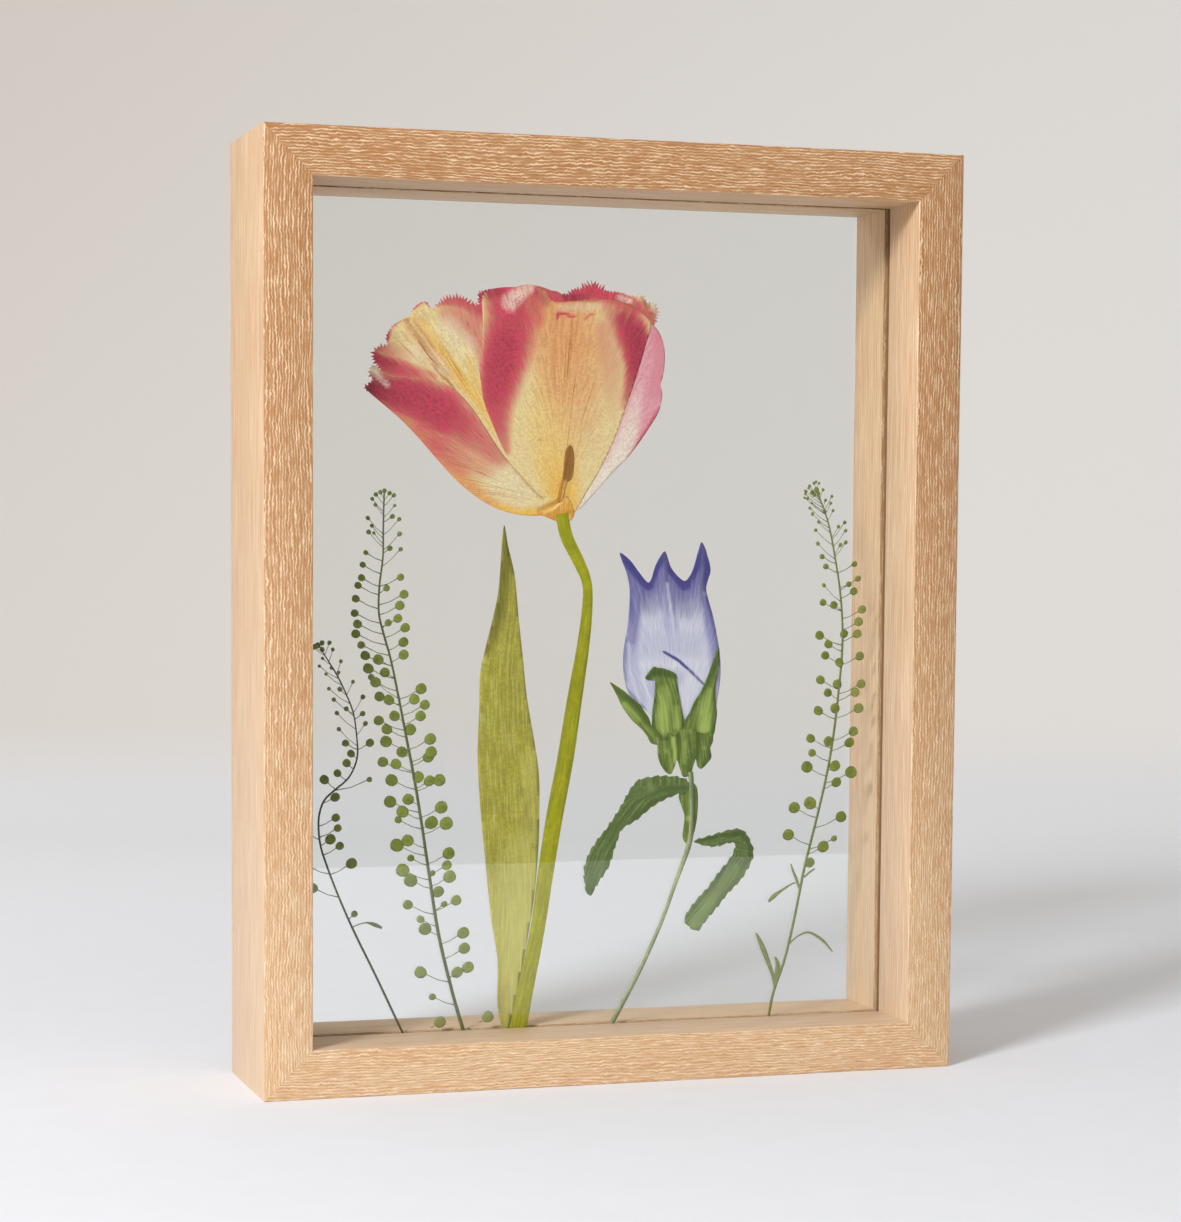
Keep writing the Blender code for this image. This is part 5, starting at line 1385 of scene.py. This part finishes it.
def add_floor(settings):
    """A table top whose rear edge lies level in the view, and a wall that sweeps up behind it."""
    table, tree, shader = new_material("table", 0.85, Emission_Strength=settings.wall_glow)
    weave = speckle(tree, place(tree), 60, 4.0)
    shade = mix(tree, ease(tree, weave, 0.3, 0.7, 0.0, 0.04), settings.table, (0.6, 0.6, 0.6))
    far_glow = mix(tree, ease(tree, position(tree)["Y"], 0.0, 0.7), (0, 0, 0), HALF_GREY)
    wire(tree, shader, Base_Color=shade, Emission_Color=far_glow)
    wall, tree, shader = new_material("wall", 0.9, Emission_Strength=settings.wall_glow)
    apart = position(tree)
    lift = compute(tree, "SUBTRACT", apart["Z"], apart["X"])
    rise = ease(tree, apart["Z"], 0.0, 0.05)
    # Painted shade and light: the wall's colour darkens toward its upper left and pales toward its lower
    # right, and its glow is strongest toward the lower right.
    wall_painted_shade = mix(tree, ease(tree, lift, -1.2, 1.6), settings.wall, colour("DCD5CC"))
    glow = mix(tree, ease(tree, lift, -1.0, 1.0), (1.0, 0.98, 0.96), (0.5, 0.46, 0.42))
    wire(tree, shader, Base_Color=mix(tree, rise, settings.table, wall_painted_shade),
         Emission_Color=mix(tree, rise, HALF_GREY, glow))
    bm = bmesh.new()
    bmesh.ops.create_grid(bm, x_segments=1, y_segments=1, size=1)
    reach, front, rear, slant, nosing = 3.0, -0.62, 0.83, -0.245, 0.06
    for vert in bm.verts:
        vert.co.x *= reach
        vert.co.y = rear + slant * vert.co.x if vert.co.y > 0 else front
    floor_face = bm.faces[:][0]
    edge = [e for e in bm.edges if all(v.co.y > front + 0.01 for v in e.verts)]
    axis = Vector((1, slant, 0)).normalized()
    centre = Vector((0, rear, 1.3))
    sweep = bmesh.ops.spin(bm, geom=edge, cent=centre, axis=axis, dvec=(0, 0, 0), space=Matrix.Identity(4),
                           angle=math.radians(85), steps=24, use_merge=False)
    raise_edge(bm, sweep, (0, 0.1, 1.5))
    edge = [e for e in bm.edges if all(v.co.y < front + 0.01 for v in e.verts)]
    sweep = bmesh.ops.spin(bm, geom=edge, cent=(0, front, -nosing), axis=(1, 0, 0), dvec=(0, 0, 0),
                           space=Matrix.Identity(4), angle=math.radians(90), steps=10, use_merge=False)
    raise_edge(bm, sweep, (0, 0, -0.5))
    bmesh.ops.recalc_face_normals(bm, faces=bm.faces)
    if floor_face.normal.z < 0:
        bmesh.ops.reverse_faces(bm, faces=bm.faces)
    mesh = bpy.data.meshes.new("floor")
    for face in bm.faces:
        face.material_index = 1 if face.calc_center_median().z > 0.0005 else 0
        face.smooth = face is not floor_face
    bm.to_mesh(mesh)
    bm.free()
    mesh.materials.append(table)
    mesh.materials.append(wall)
    floor = bpy.data.objects.new("floor", mesh)
    bpy.context.scene.collection.objects.link(floor)


def add_light(settings):
    data = bpy.data.lights.new("key", "AREA")
    data.shape, data.size, data.energy = "DISK", KEY_SIZE, settings.key_power
    data.color = (0.975, 0.99, 1.03)
    key = bpy.data.objects.new("key", data)
    key.location = FRAME_MIDDLE - KEY_TRAVEL.normalized() * KEY_DISTANCE
    key.rotation_euler = KEY_TRAVEL.to_track_quat("-Z", "Y").to_euler()
    bpy.context.scene.collection.objects.link(key)
    world = bpy.data.worlds.new("surroundings")
    bpy.context.scene.world = world
    world.use_nodes = True
    tree = world.node_tree
    sky = tree.nodes["Background"]
    direction = put(tree, "TexCoord").outputs["Generated"]
    toward = put(tree, "VectorMath", {0: direction, 1: DIM_SIDE}, operation="DOT_PRODUCT")
    dim = ease(tree, toward.outputs["Value"], 0.9, 0.985)
    tree.links.new(mix(tree, dim, SKY_COLOUR, DIM_COLOUR), sky.inputs["Color"])
    sky.inputs["Strength"].default_value = settings.sky_strength


class FLOATFRAME_OT_stage(bpy.types.Operator):
    """Add the floor, backdrop, lights and camera"""
    bl_idname = "floatframe.stage"
    bl_label = "Stage"

    def execute(self, context):
        settings = context.scene.floatframe_stage
        add_camera()
        add_floor(settings)
        add_light(settings)
        context.scene.view_settings.view_transform = "Standard"
        return {"FINISHED"}


# Panel and running

OPERATORS = (
    FLOATFRAME_OT_stage, FLOATFRAME_OT_rails, FLOATFRAME_OT_glazing, FLOATFRAME_OT_tulip,
    FLOATFRAME_OT_bellflower, FLOATFRAME_OT_sprigs,
)


class FLOATFRAME_PT_panel(bpy.types.Panel):
    """Lists the frame's operators and settings"""
    bl_label = "Floating Frame"
    bl_idname = "FLOATFRAME_PT_panel"
    bl_space_type = "VIEW_3D"
    bl_region_type = "UI"
    bl_category = "Floating Frame"

    def draw(self, context):
        for operator in OPERATORS:
            self.layout.operator(operator.bl_idname)
        for name, settings in SETTINGS.items():
            box = self.layout.box()
            for field in settings.__annotations__:
                box.prop(getattr(context.scene, name), field)


CLASSES = (*SETTINGS.values(), *OPERATORS, FLOATFRAME_PT_panel)


def register():
    for item in CLASSES:
        bpy.utils.register_class(item)
    for name, settings in SETTINGS.items():
        setattr(bpy.types.Scene, name, bpy.props.PointerProperty(type=settings))


def unregister():
    for name in SETTINGS:
        delattr(bpy.types.Scene, name)
    for item in reversed(CLASSES):
        bpy.utils.unregister_class(item)


def main():
    register()
    for operator in OPERATORS:
        group, name = operator.bl_idname.split(".")
        getattr(getattr(bpy.ops, group), name)()
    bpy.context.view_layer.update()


if __name__ == "__main__":
    main()
